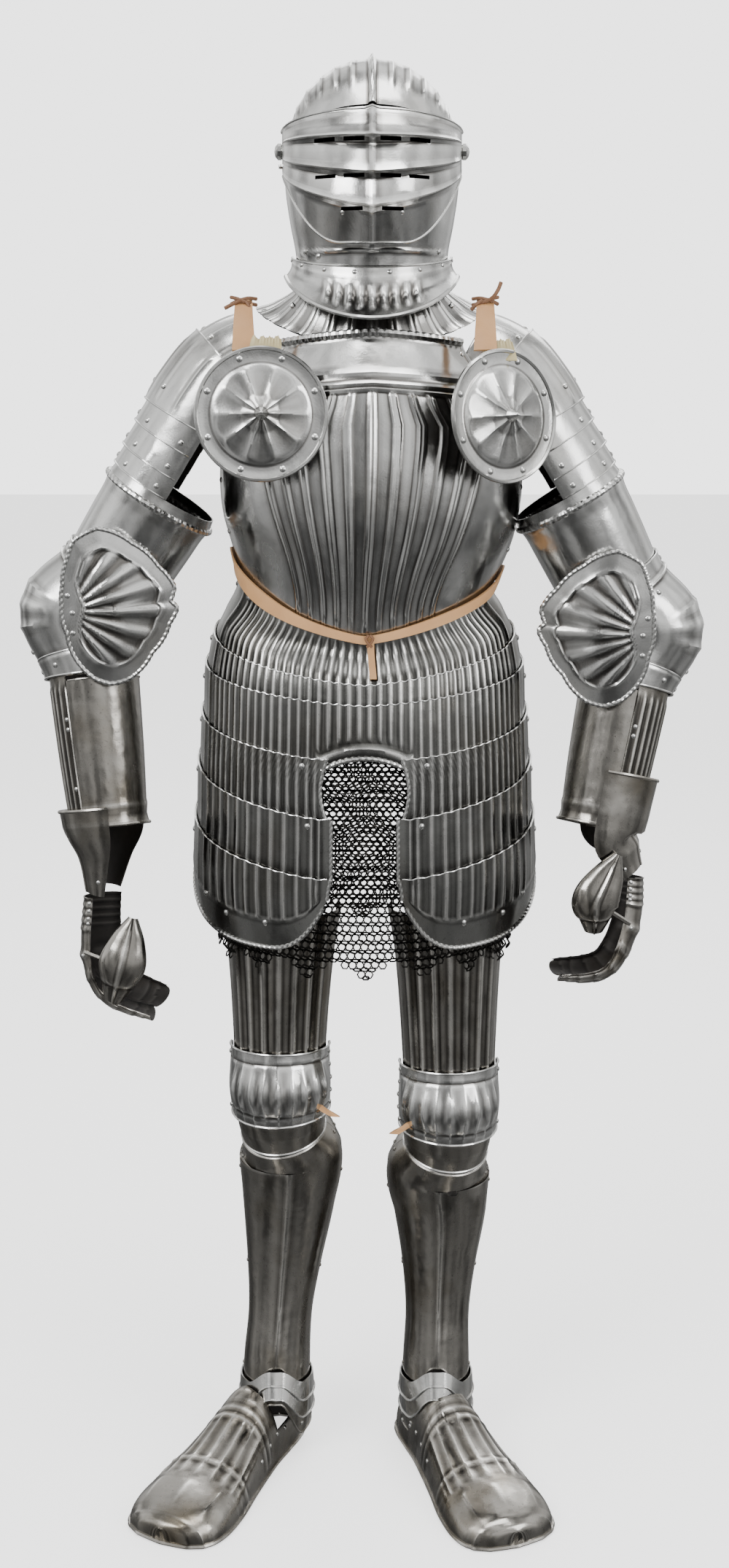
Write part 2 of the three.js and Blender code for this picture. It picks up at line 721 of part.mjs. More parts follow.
// Almond guard of the thumb, hung from the hand by a short bar.
function thumbGuard({ side, thumb }) {
  const rows = table(['at', 'x', 'y', 'z', 'w', 'f', 'b'], [
    [0, ...thumb[0], 6, 8, 8],
    [24, ...thumb[0].map((value, i) => lerp(value, thumb[1][i], 0.45)), 21, 12, 10],
    [54, ...thumb[1], 30, 17, 12],
    [84, ...thumb[1].map((value, i) => lerp(value, thumb[2][i], 0.55)), 22, 15, 10],
    [108, ...thumb[2], 13, 10, 8],
  ]);
  return plate(new Form(rows, side), {
    span: still(-88, 88), edge: between(level(0), level(108)), cols: 6, rows: 4,
  });
}

function gauntletHand(spec) {
  const form = handForm(spec);
  const hand = plate(form, { span: still(-6, 186), edge: between(level(6), level(178)), cols: 8, rows: 4 });
  const from = form.point(70, 12, -0.9);
  const guard = thumbGuard(spec);
  const to = new THREE.Vector3(spec.side * spec.thumb[1][0], spec.thumb[1][1] - 16, spec.thumb[1][2]);
  const bar = new THREE.CylinderGeometry(4, 4, from.distanceTo(to), 6).rotateX(Math.PI / 2);
  bar.lookAt(to.clone().sub(from)).translate(...from.clone().lerp(to, 0.5).toArray());
  return joined(hand, guard, bar);
}

for (const arm of ARMS) {
  const name = sideName(arm.side);
  const form = armForm(arm);
  LAMES.forEach(({ from, to, layer }, i) => {
    const lame = plate(form, {
      span: still(-8, 188), edge: between(level(from), level(to)),
      cols: 10, rows: i === 1 ? 3 : 1, lift: LAP * (layer - 1),
    });
    part(`pauldron_${name}_${i + 1}`, lame, STEEL);
  });
  part(`rerebrace_${name}`, plate(form, {
    span: still(0, 360), edge: between(level(222), level(338)), cols: 14, rows: 6, wrap: true,
    relief: (degrees, at) => 5.5 * bump(at, RING_AT, 9),
  }), STEEL);
  const cop = (degrees, at) => COP_BULGE * bump(at, ELBOW_AT, 40) * Math.max(Math.sin(rad(degrees)), 0);
  part(`couter_${name}`, plate(form, {
    span: still(2, 178), edge: between(level(328), level(492)), cols: 10, rows: 6, lift: LAP, relief: cop,
  }), STEEL);
  part(`elbow_wing_${name}`, elbowWing(arm), STEEL);
  const rim = (degrees, at) => 3 * smooth(at, 678, 690);   // flare at the wrist
  part(`vambrace_outer_${name}`, plate(form, {
    span: still(arm.seam, 189), edge: between(level(484), level(690)), cols: 10, rows: 3, relief: rim,
  }), DARK_STEEL);
  part(`vambrace_inner_${name}`, plate(form, {
    span: still(190.5, 358.5 + arm.seam), edge: between(level(500), level(690)),
    cols: 10, rows: 3, relief: rim,
  }), DARK_STEEL);
}
for (const hand of HANDS) {
  const name = sideName(hand.side);
  part(`gauntlet_cuff_${name}`, plate(cuffForm(hand), {
    span: still(...hand.open), edge: between(level(0), level(110)), cols: 10, rows: 4,
  }), DARK_STEEL);
  part(`gauntlet_hand_${name}`, gauntletHand(hand), DARK_STEEL);
}

// ---- legs ----
const LEGS = [
  { side: -1, drop: 0, ankle: 119, foot: { heel: [103, 20], turn: 26.5 } },
  { side: 1, drop: 24, ankle: 97, foot: { heel: [66, 24], turn: 21.5 } },
];

function legForm({ side, drop, ankle }) {
  return new Form(table(['at', 'x', 'y', 'z', 'w', 'f', 'b'], [
    [760, 108, 0, 760, 80, 86, 78],
    [690, 109, -5, 690, 69, 78, 70],
    [570, 111, -15, 570 - drop, 60, 67, 58],
    [515, 111, -20, 515 - drop, 60, 66, 50],
    [470, 110, -20, 470 - drop, 59, 64, 50],
    [440, 107, -14, 440 - drop, 56, 60, 56],
    [405, 99, 0, 405 - drop, 69, 62, 76],
    [335, 102, 2, 335 - drop * 0.6, 62, 54, 72],
    [242, lerp(ankle, 103, 0.6), -5, 242, 49, 45, 54],
    [181, lerp(ankle, 103, 0.3), -15, 181, 43, 42, 43],
    [110, ankle, -27, 110, 45, 46, 42],
    [50, ankle, -34, 50, 45, 55, 47],
  ]), side);
}

const GREAVE_HEM = 52;
const CUISSE_FLUTES = 6;
const POLEYN_FLUTES = 8;
const ridges = (count, half) => (degrees) => {
  const place = ((degrees + half) / (2 * half)) * count;
  return 1 - Math.abs(Math.sin(Math.PI * place));
};

function sole({ side, ankle, foot }) {
  // Stations of the shoe from heel to toe: half width and height of each arch.
  const rows = table(['at', 'w', 'h'], [
    [0, 0, 34],
    [3, 15, 40],
    [14, 29, 48],
    [40, 38, 62],
    [75, 41, 84],
    [112, 43, 99],
    [150, 48, 82],
    [200, 56, 62],
    [250, 65, 50],
    [296, 66, 42],
    [325, 54, 34],
    [336, 34, 27],
    [FOOT_LENGTH, 0, 20],
  ]);
  const turn = rad(foot.turn);
  const [ahead, across] = [[side * Math.sin(turn), -Math.cos(turn)], [side * Math.cos(turn), Math.sin(turn)]];
  const place = (u, v, inner) => {
    const row = rows[Math.round(v * (rows.length - 1))];
    const inset = inner ? PLATE : 0;
    const at = inset + (row.at * (FOOT_LENGTH - 2 * inset)) / FOOT_LENGTH;
    const angle = rad(lerp(-90, 90, u));
    const half = Math.max(row.w - inset, 0) * Math.sign(angle) * Math.abs(Math.sin(angle)) ** 0.85;
    const height = (row.h - inset) * Math.abs(Math.cos(angle)) ** 0.75;
    const x = side * foot.heel[0] + ahead[0] * at + across[0] * half;
    const y = foot.heel[1] + ahead[1] * at + across[1] * half;
    return new THREE.Vector3(x, y, Math.abs(u - 0.5) > 0.499 ? 0 : height);
  };
  const shoe = wall(place, 10, rows.length - 1, { start: false, end: false });
  const hole = new THREE.CylinderGeometry(1, 1, 120, 14).rotateX(Math.PI / 2).scale(48, 60, 1);
  hole.translate(side * ankle, -36, 46 + 60);
  return cut(shoe, hole);
}

for (const leg of LEGS) {
  const name = sideName(leg.side);
  const form = legForm(leg);
  const cuisseRidge = ridges(CUISSE_FLUTES, 54);
  const copRidge = ridges(POLEYN_FLUTES, 56);
  part(`cuisse_${name}`, plate(form, {
    span: still(-108, 108), edge: between(level(745), level(540)), cols: 20, rows: 2,
    relief: (degrees) => 2 * cuisseRidge(degrees) * smooth(60 - Math.abs(degrees), 0, 6),
  }), DARK_STEEL);
  part(`poleyn_${name}`, plate(form, {
    span: still(-100, 100), edge: between(level(562), level(476)), cols: 20, rows: 4, lift: LAP * 1.9,
    relief: (degrees, at) => {
      const dome = 12 * Math.cos(rad(clamp(degrees, -90, 90)));
      const fluted = 2.4 * smooth(66 - Math.abs(degrees), 0, 20) * copRidge(degrees);
      return bump(at, 512, 26) * (dome + fluted);
    },
  }), STEEL);
  part(`poleyn_lame_${name}`, plate(form, {
    span: still(-96, 96), edge: between(level(482), level(444)), cols: 12, rows: 2, lift: 0.5,
  }), DARK_STEEL);
  const instep = (degrees) => lerp(86, GREAVE_HEM, smooth(Math.abs(degrees), 20, 80));
  part(`greave_front_${name}`, plate(form, {
    span: still(-90, 90), edge: between(level(440), instep), cols: 10, rows: 6,
  }), DARK_STEEL);
  part(`greave_back_${name}`, plate(form, {
    span: still(90.8, 269.2), edge: between(level(440), level(GREAVE_HEM)), cols: 8, rows: 6,
  }), DARK_STEEL);
  part(`sabaton_${name}`, sole(leg), DARK_STEEL);
}

export default group;
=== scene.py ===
"""Looks of a worn suit of fluted plate armour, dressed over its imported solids.

Every plate is worked again on the form that its solid follows, with flutes, ropes, rolled edges and
rivets. Lengths are millimetres above the floor until an object is made; the objects are in metres in
the suit's own frame, whose origin is between the shoulders.
"""

import logging
import math
from dataclasses import dataclass
from typing import Callable, Sequence

import bpy
import numpy as np
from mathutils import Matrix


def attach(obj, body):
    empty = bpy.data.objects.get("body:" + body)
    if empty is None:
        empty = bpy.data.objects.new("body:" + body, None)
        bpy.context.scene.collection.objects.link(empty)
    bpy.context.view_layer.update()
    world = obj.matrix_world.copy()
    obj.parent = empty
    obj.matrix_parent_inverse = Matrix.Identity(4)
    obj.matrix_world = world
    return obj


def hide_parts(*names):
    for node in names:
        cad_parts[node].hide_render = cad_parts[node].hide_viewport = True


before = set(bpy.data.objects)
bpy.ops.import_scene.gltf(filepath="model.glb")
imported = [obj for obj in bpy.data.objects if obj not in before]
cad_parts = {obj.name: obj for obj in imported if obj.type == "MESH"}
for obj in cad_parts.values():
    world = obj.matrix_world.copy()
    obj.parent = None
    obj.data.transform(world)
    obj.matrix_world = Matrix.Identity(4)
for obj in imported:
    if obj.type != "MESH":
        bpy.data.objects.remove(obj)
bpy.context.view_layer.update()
LOG = logging.getLogger("armour")

MM = 0.001
HOLD_HEIGHT = 1420.0      # origin between the shoulders, above the floor
PLATE = 1.8               # wall of every steel plate
LAP = 2.9                 # step from one lapped plate to the next
EAR_Z = 1686.0            # height of the visor pivots
LEAN = 9.0                # the helmet and chest stand this far to the left of the hips
SEED = 11
BLUR = 7.0                # reach over which a hollow is painted darker, as painted shade
BLUR_STEPS = 12           # most grid steps that this reach may take
HOLLOW = 1.1              # a hollow this deep gets the darkest painted shade
BEND_GAIN = 3.0           # how strongly a bend is painted: crests bright as wear and painted highlight, hollows dark as painted shade
FINEST = 0.4              # shortest grid step that counts in a bend
BEAD_WEAR_AND_SHEEN = -0.35         # plain beads painted brighter, as wear and painted highlight, and rivet heads below
STUD_WEAR_AND_SHEEN = -0.3
CLOSE = 1e-6              # points nearer than this are one, in metres

Points = np.ndarray
Place = Callable[[Points, Points], Points]
Relief = Callable[[Points, Points, Points], Points]
Edge = Callable[[Points], Points]
Place3 = tuple[float, float, float]
Colour = tuple[float, float, float]
Span = Callable[[Points], tuple[Points, Points]]


# ---------------------------------------------------------------- numbers
def lerp(a: Points, b: Points, t: Points) -> Points:
    """Return the value at share t between a and b."""
    return a + (b - a) * t


def smooth(x: Points, a: float, b: float) -> Points:
    """Return a soft step of x from 0 at a to 1 at b."""
    t = np.clip((x - a) / (b - a), 0.0, 1.0)
    return t * t * (3.0 - 2.0 * t)


def bump(x: Points, centre: float, width: float) -> Points:
    """Return a rounded hill of height 1 at the centre."""
    return np.exp(-(((x - centre) / width) ** 2))


def ridge(phase: Points) -> Points:
    """Return a sharp crest of height 1 at every whole number, with round hollows between."""
    return 1.0 - np.abs(np.sin(np.pi * phase)) ** 0.8


def crest(phase: Points, sharp: float = 2.0) -> Points:
    """Return a narrow smooth crest of height 1 at every whole number, with flat ground between."""
    return ((1.0 + np.cos(2 * np.pi * phase)) / 2) ** sharp


def unit(vectors: Points) -> Points:
    """Return the vectors at length 1."""
    return vectors / np.maximum(np.linalg.norm(vectors, axis=-1, keepdims=True), 1e-9)


def stacked(*columns: Points) -> Points:
    """Return points from their x, y and z arrays."""
    return np.stack(np.broadcast_arrays(*columns), axis=-1)


class Table:
    """Rows of numbers under named columns, read smoothly along the first column."""

    def __init__(self, columns: str, rows: Sequence[Sequence[float]]) -> None:
        """Keep the rows in rising order of the first column.

        Args:
            columns: the column names, parted by blanks.
            rows: the numbers, one row for each place.
        """
        data = np.array(rows, float)
        if data[0, 0] > data[-1, 0]:
            data = data[::-1]
        self.at = data[:, 0]
        self.columns = dict(zip(columns.split(), data.T))

    def read(self, name: str, at: Points) -> Points:
        """Return one column at some places.

        Args:
            name: the column.
            at: the places along the table.

        Returns:
            The smooth values, carried on straight past both ends.
        """
        x, y = self.at, self.columns[name]
        at = np.asarray(at, float)
        slope = np.empty_like(y)
        slope[1:-1] = (y[2:] - y[:-2]) / (x[2:] - x[:-2])
        slope[0] = (y[1] - y[0]) / (x[1] - x[0])
        slope[-1] = (y[-1] - y[-2]) / (x[-1] - x[-2])
        i = np.clip(np.searchsorted(x, at) - 1, 0, len(x) - 2)
        span = x[i + 1] - x[i]
        t = np.clip((at - x[i]) / span, 0.0, 1.0)
        t2, t3 = t * t, t * t * t
        inside = (
            (2 * t3 - 3 * t2 + 1) * y[i]
            + (t3 - 2 * t2 + t) * slope[i] * span
            + (3 * t2 - 2 * t3) * y[i + 1]
            + (t3 - t2) * slope[i + 1] * span
        )
        before = slope[0] * np.minimum(at - x[0], 0.0)
        after = slope[-1] * np.maximum(at - x[-1], 0.0)
        return inside + before + after


# ---------------------------------------------------------------- forms
class Form:
    """A tube that plates follow. Angle 0 is the front and +90 degrees the outer side."""

    def __init__(self, rows: Sequence[Sequence[float]], side: int = 1,
                 face: Sequence[float] = (0, -1, 0)) -> None:
        """Take the sections of the tube.

        Args:
            rows: at, middle x, y, z, half width, depth in front and depth behind.
            side: -1 for the wearer's right and +1 for the left.
            face: the way the front looks on the left side.
        """
        self.table = Table("at x y z w f b", rows)
        self.side = side
        self.face = np.array([side * face[0], face[1], face[2]], float)

    def middle(self, at: Points) -> Points:
        """Return the middle of the section at each place."""
        x, y, z = (self.table.read(key, at) for key in "xyz")
        return stacked(self.side * x, y, z)

    def skin(self, at: Points, degrees: Points) -> Points:
        """Return points on the form.

        Args:
            at: places along the form.
            degrees: angles round it.

        Returns:
            The points, in millimetres.
        """
        at, degrees = np.broadcast_arrays(np.asarray(at, float), np.asarray(degrees, float))
        axis = unit(self.middle(at + 2) - self.middle(at - 2))
        front = self.face - axis * (axis @ self.face)[..., None]
        front = unit(front)
        out = unit(np.cross(front, axis)) * np.where(axis[..., 2:] > 0, -self.side, self.side)
        angle = np.radians(degrees)
        depth = np.where(np.cos(angle) >= 0, self.table.read("f", at), self.table.read("b", at))
        across = self.table.read("w", at) * np.sin(angle)
        return self.middle(at) + out * across[..., None] + front * (depth * np.cos(angle))[..., None]


WAIST = {"front": 1113.0, "side": 1190.0, "back": 1172.0, "power": 1.25}


def waistline(degrees: Points) -> Points:
    """Return the height of the waist at each angle round the body."""
    turn = np.abs(np.where(degrees > 180, degrees - 360, degrees)) / 90
    ahead = lerp(WAIST["front"], WAIST["side"], np.clip(turn, 0, 1) ** WAIST["power"])
    return np.where(turn <= 1, ahead, lerp(WAIST["side"], WAIST["back"], turn - 1))


TORSO = Form([
    [1480, LEAN, 0, 1480, 116, 124, 98],
    [1460, LEAN, 0, 1460, 134, 141, 108],
    [1410, LEAN, 0, 1410, 166, 166, 122],
    [1350, LEAN, 0, 1350, 182, 177, 128],
    [1290, 0.9 * LEAN, 0, 1290, 187, 182, 127],
    [1240, 0.7 * LEAN, 0, 1240, 181, 178, 119],
    [1190, 0.35 * LEAN, 0, 1190, 165, 162, 108],
    [1150, 0.1 * LEAN, 0, 1150, 156, 147, 102],
    [1105, 0, 0, 1105, 160, 138, 104],
])


class SkirtForm(Form):
    """The hips: follows the torso at the waist and swings out to its own sections below."""

    def skin(self, at: Points, degrees: Points) -> Points:
        """Return points on the form, eased from the torso to the hips."""
        away = smooth(waistline(degrees) - at, 0, 52)
        return lerp(TORSO.skin(at, degrees), super().skin(at, degrees), np.asarray(away)[..., None])


SKIRT = SkirtForm([
    [1190, 0, 0, 1190, 165, 160, 106],
    [1165, 0, 0, 1165, 163, 150, 106],
    [1135, 0, 0, 1135, 175, 142, 112],
    [1110, 0, 0, 1110, 187, 140, 122],
    [1085, 0, 0, 1085, 193, 152, 128],
    [1060, 0, 0, 1060, 197, 162, 133],
    [1010, 0, 0, 1010, 199, 172, 138],
    [945, 0, 0, 945, 202, 177, 142],
    [880, 0, 0, 880, 204, 179, 144],
    [800, 0, 0, 800, 207, 179, 144],
    [735, 0, 0, 735, 201, 176, 140],
])


# ---------------------------------------------------------------- finishes
class Nodes:
    """A shader's node tree, with short ways to add and feed its nodes."""

    def __init__(self, tree: bpy.types.NodeTree) -> None:
        """Keep the tree."""
        self.tree = tree

    def feed(self, socket: bpy.types.NodeSocket, value: object) -> None:
        """Link another socket into this input, or set its value."""
        if isinstance(value, bpy.types.NodeSocket):
            self.tree.links.new(value, socket)
        else:
            socket.default_value = value

    def add(self, kind: str, **inputs: object) -> bpy.types.Node:
        """Add a node.

        Args:
            kind: its type, less the word ShaderNode.
            inputs: what feeds each input, with underscores for the blanks in its name.

        Returns:
            The new node.
        """
        node = self.tree.nodes.new(f"ShaderNode{kind}")
        for name, value in inputs.items():
            self.feed(node.inputs[name.replace("_", " ")], value)
        return node

    def noise(self, place: bpy.types.NodeSocket, scale: float, detail: float,
              stretch: Place3 = (1, 1, 1)) -> bpy.types.NodeSocket:
        """Return noise at a place, of some scale, detail and stretch."""
        mapping = self.add("Mapping", Vector=place, Scale=stretch)
        node = self.add("TexNoise", Vector=mapping.outputs["Vector"], Scale=scale, Detail=detail)
        return node.outputs["Fac"]

    def ranged(self, value: bpy.types.NodeSocket, start: float, end: float,
               to: tuple[float, float]) -> bpy.types.NodeSocket:
        """Return a value moved from the range start to end into another range."""
        node = self.add("MapRange", Value=value, From_Min=start, From_Max=end, To_Min=to[0], To_Max=to[1])
        return node.outputs["Result"]

    def mixed(self, share: bpy.types.NodeSocket, first: object, second: Colour) -> bpy.types.NodeSocket:
        """Return the first colour, or the first socket's, with some share of the second."""
        node = self.add("Mix")
        node.data_type = "RGBA"
        self.feed(node.inputs["Factor"], share)
        self.feed(node.inputs[6], (*first, 1) if isinstance(first, tuple) else first)
        self.feed(node.inputs[7], (*second, 1))
        return node.outputs[2]


@dataclass(frozen=True)
class Finish:
    """How a material looks. Colours are linear; crests turn bright, as wear and painted highlight, and
    hollows and lapped edges turn deep, as painted shade.
    """

    name: str
    base: Colour
    deep: Colour
    bright: Colour
    patina: Colour
    patina_share: float = 0.2
    roughness: tuple[float, float] = (0.16, 0.34)
    metallic: float = 1.0
    dents: float = 0.25
    grain: float = 0.12
    pitted: bool = True

    def material(self) -> bpy.types.Material:
        """Return the material, made at its first use."""
        found = bpy.data.materials.get(self.name)
        return found if found else self.build()

    def build(self) -> bpy.types.Material:
        """Make the material's nodes.

        Returns:
            The new material.
        """
        made = bpy.data.materials.new(self.name)
        made.use_nodes = True
        nodes = Nodes(made.node_tree)
        shader = made.node_tree.nodes["Principled BSDF"]
        place = nodes.add("TexCoord").outputs["Object"]
        attribute = nodes.add("Attribute")
        attribute.attribute_name = "painted_light_and_wear"
        painted_light_and_wear = attribute.outputs["Fac"]
        stain = nodes.ranged(nodes.noise(place, 11, 6), 0.5, 0.72, (0.0, self.patina_share * 2))
        colour = nodes.mixed(stain, self.base, self.patina)
        # painted shade in hollows and lapped edges, towards deep; wear and painted highlight on crests,
        # towards bright
        colour = nodes.mixed(nodes.ranged(painted_light_and_wear, 0.06, 0.9, (0.0, 0.85)), colour, self.deep)
        colour = nodes.mixed(nodes.ranged(painted_light_and_wear, -0.12, -0.9, (0.0, 0.8)), colour, self.bright)
        if self.pitted:
            pits = nodes.ranged(nodes.noise(place, 330, 3), 0.62, 0.74, (0.0, self.patina_share))
            colour = nodes.mixed(pits, colour, self.deep)
        slow = nodes.add("Bump", Strength=self.dents, Distance=0.004, Height=nodes.noise(place, 26, 2))
        fine = nodes.add("Bump", Strength=self.grain, Distance=0.0006, Height=nodes.noise(place, 420, 4),
                         Normal=slow.outputs["Normal"])
        rough = nodes.ranged(nodes.noise(place, 38, 8, (1, 1, 0.5)), 0.35, 0.68, self.roughness)
        nodes.feed(shader.inputs["Metallic"], self.metallic)
        nodes.feed(shader.inputs["Base Color"], colour)
        nodes.feed(shader.inputs["Roughness"], rough)
        nodes.feed(shader.inputs["Normal"], fine.outputs["Normal"])
        return made


BRIGHT_STEEL = Finish(
    "polished_steel", base=(0.66, 0.66, 0.65), deep=(0.10, 0.09, 0.08), bright=(0.92, 0.92, 0.9),
    patina=(0.42, 0.39, 0.34), patina_share=0.18, roughness=(0.13, 0.3))
FAULD_STEEL = Finish(
    "fauld_steel", base=(0.29, 0.29, 0.28), deep=(0.03, 0.028, 0.025), bright=(0.8, 0.79, 0.77),
    patina=(0.16, 0.145, 0.12), patina_share=0.34)
DARK_STEEL = Finish(
    "patinated_steel", base=(0.34, 0.325, 0.30), deep=(0.045, 0.04, 0.035), bright=(0.74, 0.72, 0.68),
    patina=(0.15, 0.125, 0.085), patina_share=0.42, roughness=(0.14, 0.36), dents=0.4, grain=0.1)
# near-black inner walls: painted shade in the openings of the plates
INSIDE_SHADE_STEEL = Finish(
    "inside_painted_shade", base=(0.035, 0.032, 0.03), deep=(0.01, 0.01, 0.01), bright=(0.08, 0.075, 0.07),
    patina=(0.05, 0.035, 0.02), roughness=(0.55, 0.75), metallic=0.7)
RING_STEEL = Finish(
    "ring_steel", base=(0.03, 0.028, 0.026), deep=(0.01, 0.01, 0.01), bright=(0.1, 0.09, 0.08),
    patina=(0.02, 0.017, 0.014), roughness=(0.4, 0.55))
TAN_LEATHER = Finish(
    "tan_leather", base=(0.46, 0.25, 0.105), deep=(0.2, 0.1, 0.04), bright=(0.6, 0.36, 0.18),
    patina=(0.36, 0.18, 0.07), patina_share=0.4, roughness=(0.5, 0.7), metallic=0.0, grain=0.5, pitted=False)
SUEDE = Finish(
    "suede", base=(0.42, 0.36, 0.2), deep=(0.25, 0.2, 0.1), bright=(0.55, 0.48, 0.3),
    patina=(0.33, 0.27, 0.14), roughness=(0.85, 0.95), metallic=0.0, grain=0.8, pitted=False)
THONG = Finish(
    "thong", base=(0.13, 0.06, 0.028), deep=(0.05, 0.025, 0.012), bright=(0.25, 0.12, 0.05),
    patina=(0.09, 0.04, 0.02), roughness=(0.5, 0.7), metallic=0.0, pitted=False)


# ---------------------------------------------------------------- making objects
def deselect() -> None:
    """Leave nothing selected, so an operator acts only on what is added next."""
    if bpy.context.object and bpy.context.object.mode != "OBJECT":
        bpy.ops.object.mode_set(mode="OBJECT")
    bpy.ops.object.select_all(action="DESELECT")


def joined(pieces: Sequence[bpy.types.Object]) -> bpy.types.Object:
    """Join objects into the first, which is left selected and active, and return it."""
    deselect()
    for piece in pieces:
        piece.select_set(True)
    bpy.context.view_layer.objects.active = pieces[0]
    if len(pieces) > 1:
        bpy.ops.object.join()
    return pieces[0]


def edit(obj: bpy.types.Object, *steps: Callable[[], object]) -> None:
    """Run edit-mode steps on everything in one object."""
    joined([obj])
    bpy.ops.object.mode_set(mode="EDIT")
    bpy.ops.mesh.select_all(action="SELECT")
    for step in steps:
        step()
    bpy.ops.object.mode_set(mode="OBJECT")


def applied(obj: bpy.types.Object, kind: str, **settings: object) -> None:
    """Give an object a modifier of some kind and settings, and apply it."""
    modifier = obj.modifiers.new(kind, kind)
    for name, value in settings.items():
        setattr(modifier, name, value)
    joined([obj])
    bpy.ops.object.modifier_apply(modifier=modifier.name)


def cut(obj: bpy.types.Object, cutters: Sequence[bpy.types.Object]) -> None:
    """Cut the cutters out of an object and remove them."""
    for cutter in cutters:
        applied(obj, "BOOLEAN", object=cutter, solver="EXACT")
        bpy.data.objects.remove(cutter)


def taken(obj: bpy.types.Object) -> tuple[Points, Points]:
    """Remove a template and return its points and its faces, a list for each face."""
    points = np.array([vertex.co for vertex in obj.data.vertices])
    faces = [list(polygon.vertices) for polygon in obj.data.polygons]
    bpy.data.objects.remove(obj)
    return points, faces


def metres(points: Points) -> Points:
    """Return points in metres from the suit's origin, from millimetres above the floor."""
    return (np.asarray(points, float) - (0, 0, HOLD_HEIGHT)) * MM


def set_painted_light_and_wear(obj: bpy.types.Object, values: Points) -> None:
    """Store how hollow (+) or crested (-) each vertex is; hollows are painted with shade, crests with wear
    and highlight.
    """
    attribute = obj.data.attributes.new("painted_light_and_wear", "FLOAT", "POINT")
    attribute.data.foreach_set("value", np.asarray(values, np.float32).ravel())


def grid_object(points: Points, painted_light_and_wear: Points, finish: Finish) -> bpy.types.Object:
    """Make an object from a grid primitive.

    Args:
        points: its points by rows and columns, in millimetres above the floor.
        painted_light_and_wear: how hollow (+) or crested (-) each point is.
        finish: its finish.

    Returns:
        The new object.
    """
    rows, cols = points.shape[0] - 1, points.shape[1] - 1
    deselect()
    bpy.ops.mesh.primitive_grid_add(x_subdivisions=cols, y_subdivisions=rows, size=1)
    obj = bpy.context.object
    at = np.empty(len(obj.data.vertices) * 3, np.float32)
    obj.data.vertices.foreach_get("co", at)
    at = at.reshape(-1, 3)
    j = np.rint((at[:, 0] + 0.5) * cols).astype(int)
    i = np.rint((at[:, 1] + 0.5) * rows).astype(int)
    obj.data.vertices.foreach_set("co", metres(points[i, j]).astype(np.float32).ravel())
    obj.data.update()
    set_painted_light_and_wear(obj, painted_light_and_wear[i, j])
    obj.data.materials.append(finish.material())
    return obj


def copies_object(points: Sequence[Points], faces: Sequence[Sequence[int]],
                  finish: Finish) -> bpy.types.Object:
    """Make one object from the points of each copy of a template and all their faces."""
    mesh = bpy.data.meshes.new("copies")
    mesh.from_pydata(metres(np.concatenate(points)).tolist(), [], faces)
    obj = bpy.data.objects.new("copies", mesh)
    bpy.context.scene.collection.objects.link(obj)
    mesh.materials.append(finish.material())
    return obj


def grid_normals(points: Points, wrap: bool) -> Points:
    """Return the unit normals of a grid of points, by rows and columns."""
    if wrap:
        joined = np.concatenate([points[:, -2:-1], points, points[:, 1:2]], axis=1)
        across = (joined[:, 2:] - joined[:, :-2]) / 2
    else:
        across = np.gradient(points, axis=1)
    return unit(np.cross(across, np.gradient(points, axis=0)))


def blurred(values: Points, steps: int, axis: int) -> Points:
    """Return a grid of values averaged over some steps each way along one axis."""
    pad = [(steps + 1, steps) if k == axis else (0, 0) for k in (0, 1)]
    run = np.cumsum(np.pad(values, pad, mode="edge"), axis=axis)
    ahead, behind = (np.take(run, np.arange(a, a + values.shape[axis]), axis=axis)
                     for a in (2 * steps + 1, 0))
    return (ahead - behind) / (2 * steps + 1)


def grid_painted_light_and_wear(points: Points, normals: Points) -> Points:
    """Return how hollow (+) or crested (-) a grid is at each point, from -1 to 1."""
    total = np.zeros(points.shape[:2])
    for axis in (0, 1):
        p = np.moveaxis(points, axis, 0)
        n = np.moveaxis(normals, axis, 0)
        bend = ((p[:-2] + p[2:]) / 2 - p[1:-1])
        step = np.linalg.norm(p[2:] - p[:-2], axis=-1) / 2
        curve = np.zeros(p.shape[:2])
        curve[1:-1] = 2 * (bend * n[1:-1]).sum(-1) / np.maximum(step, FINEST) ** 2
        total += np.moveaxis(curve, 0, axis)
    return np.clip(total * BEND_GAIN, -1, 1)


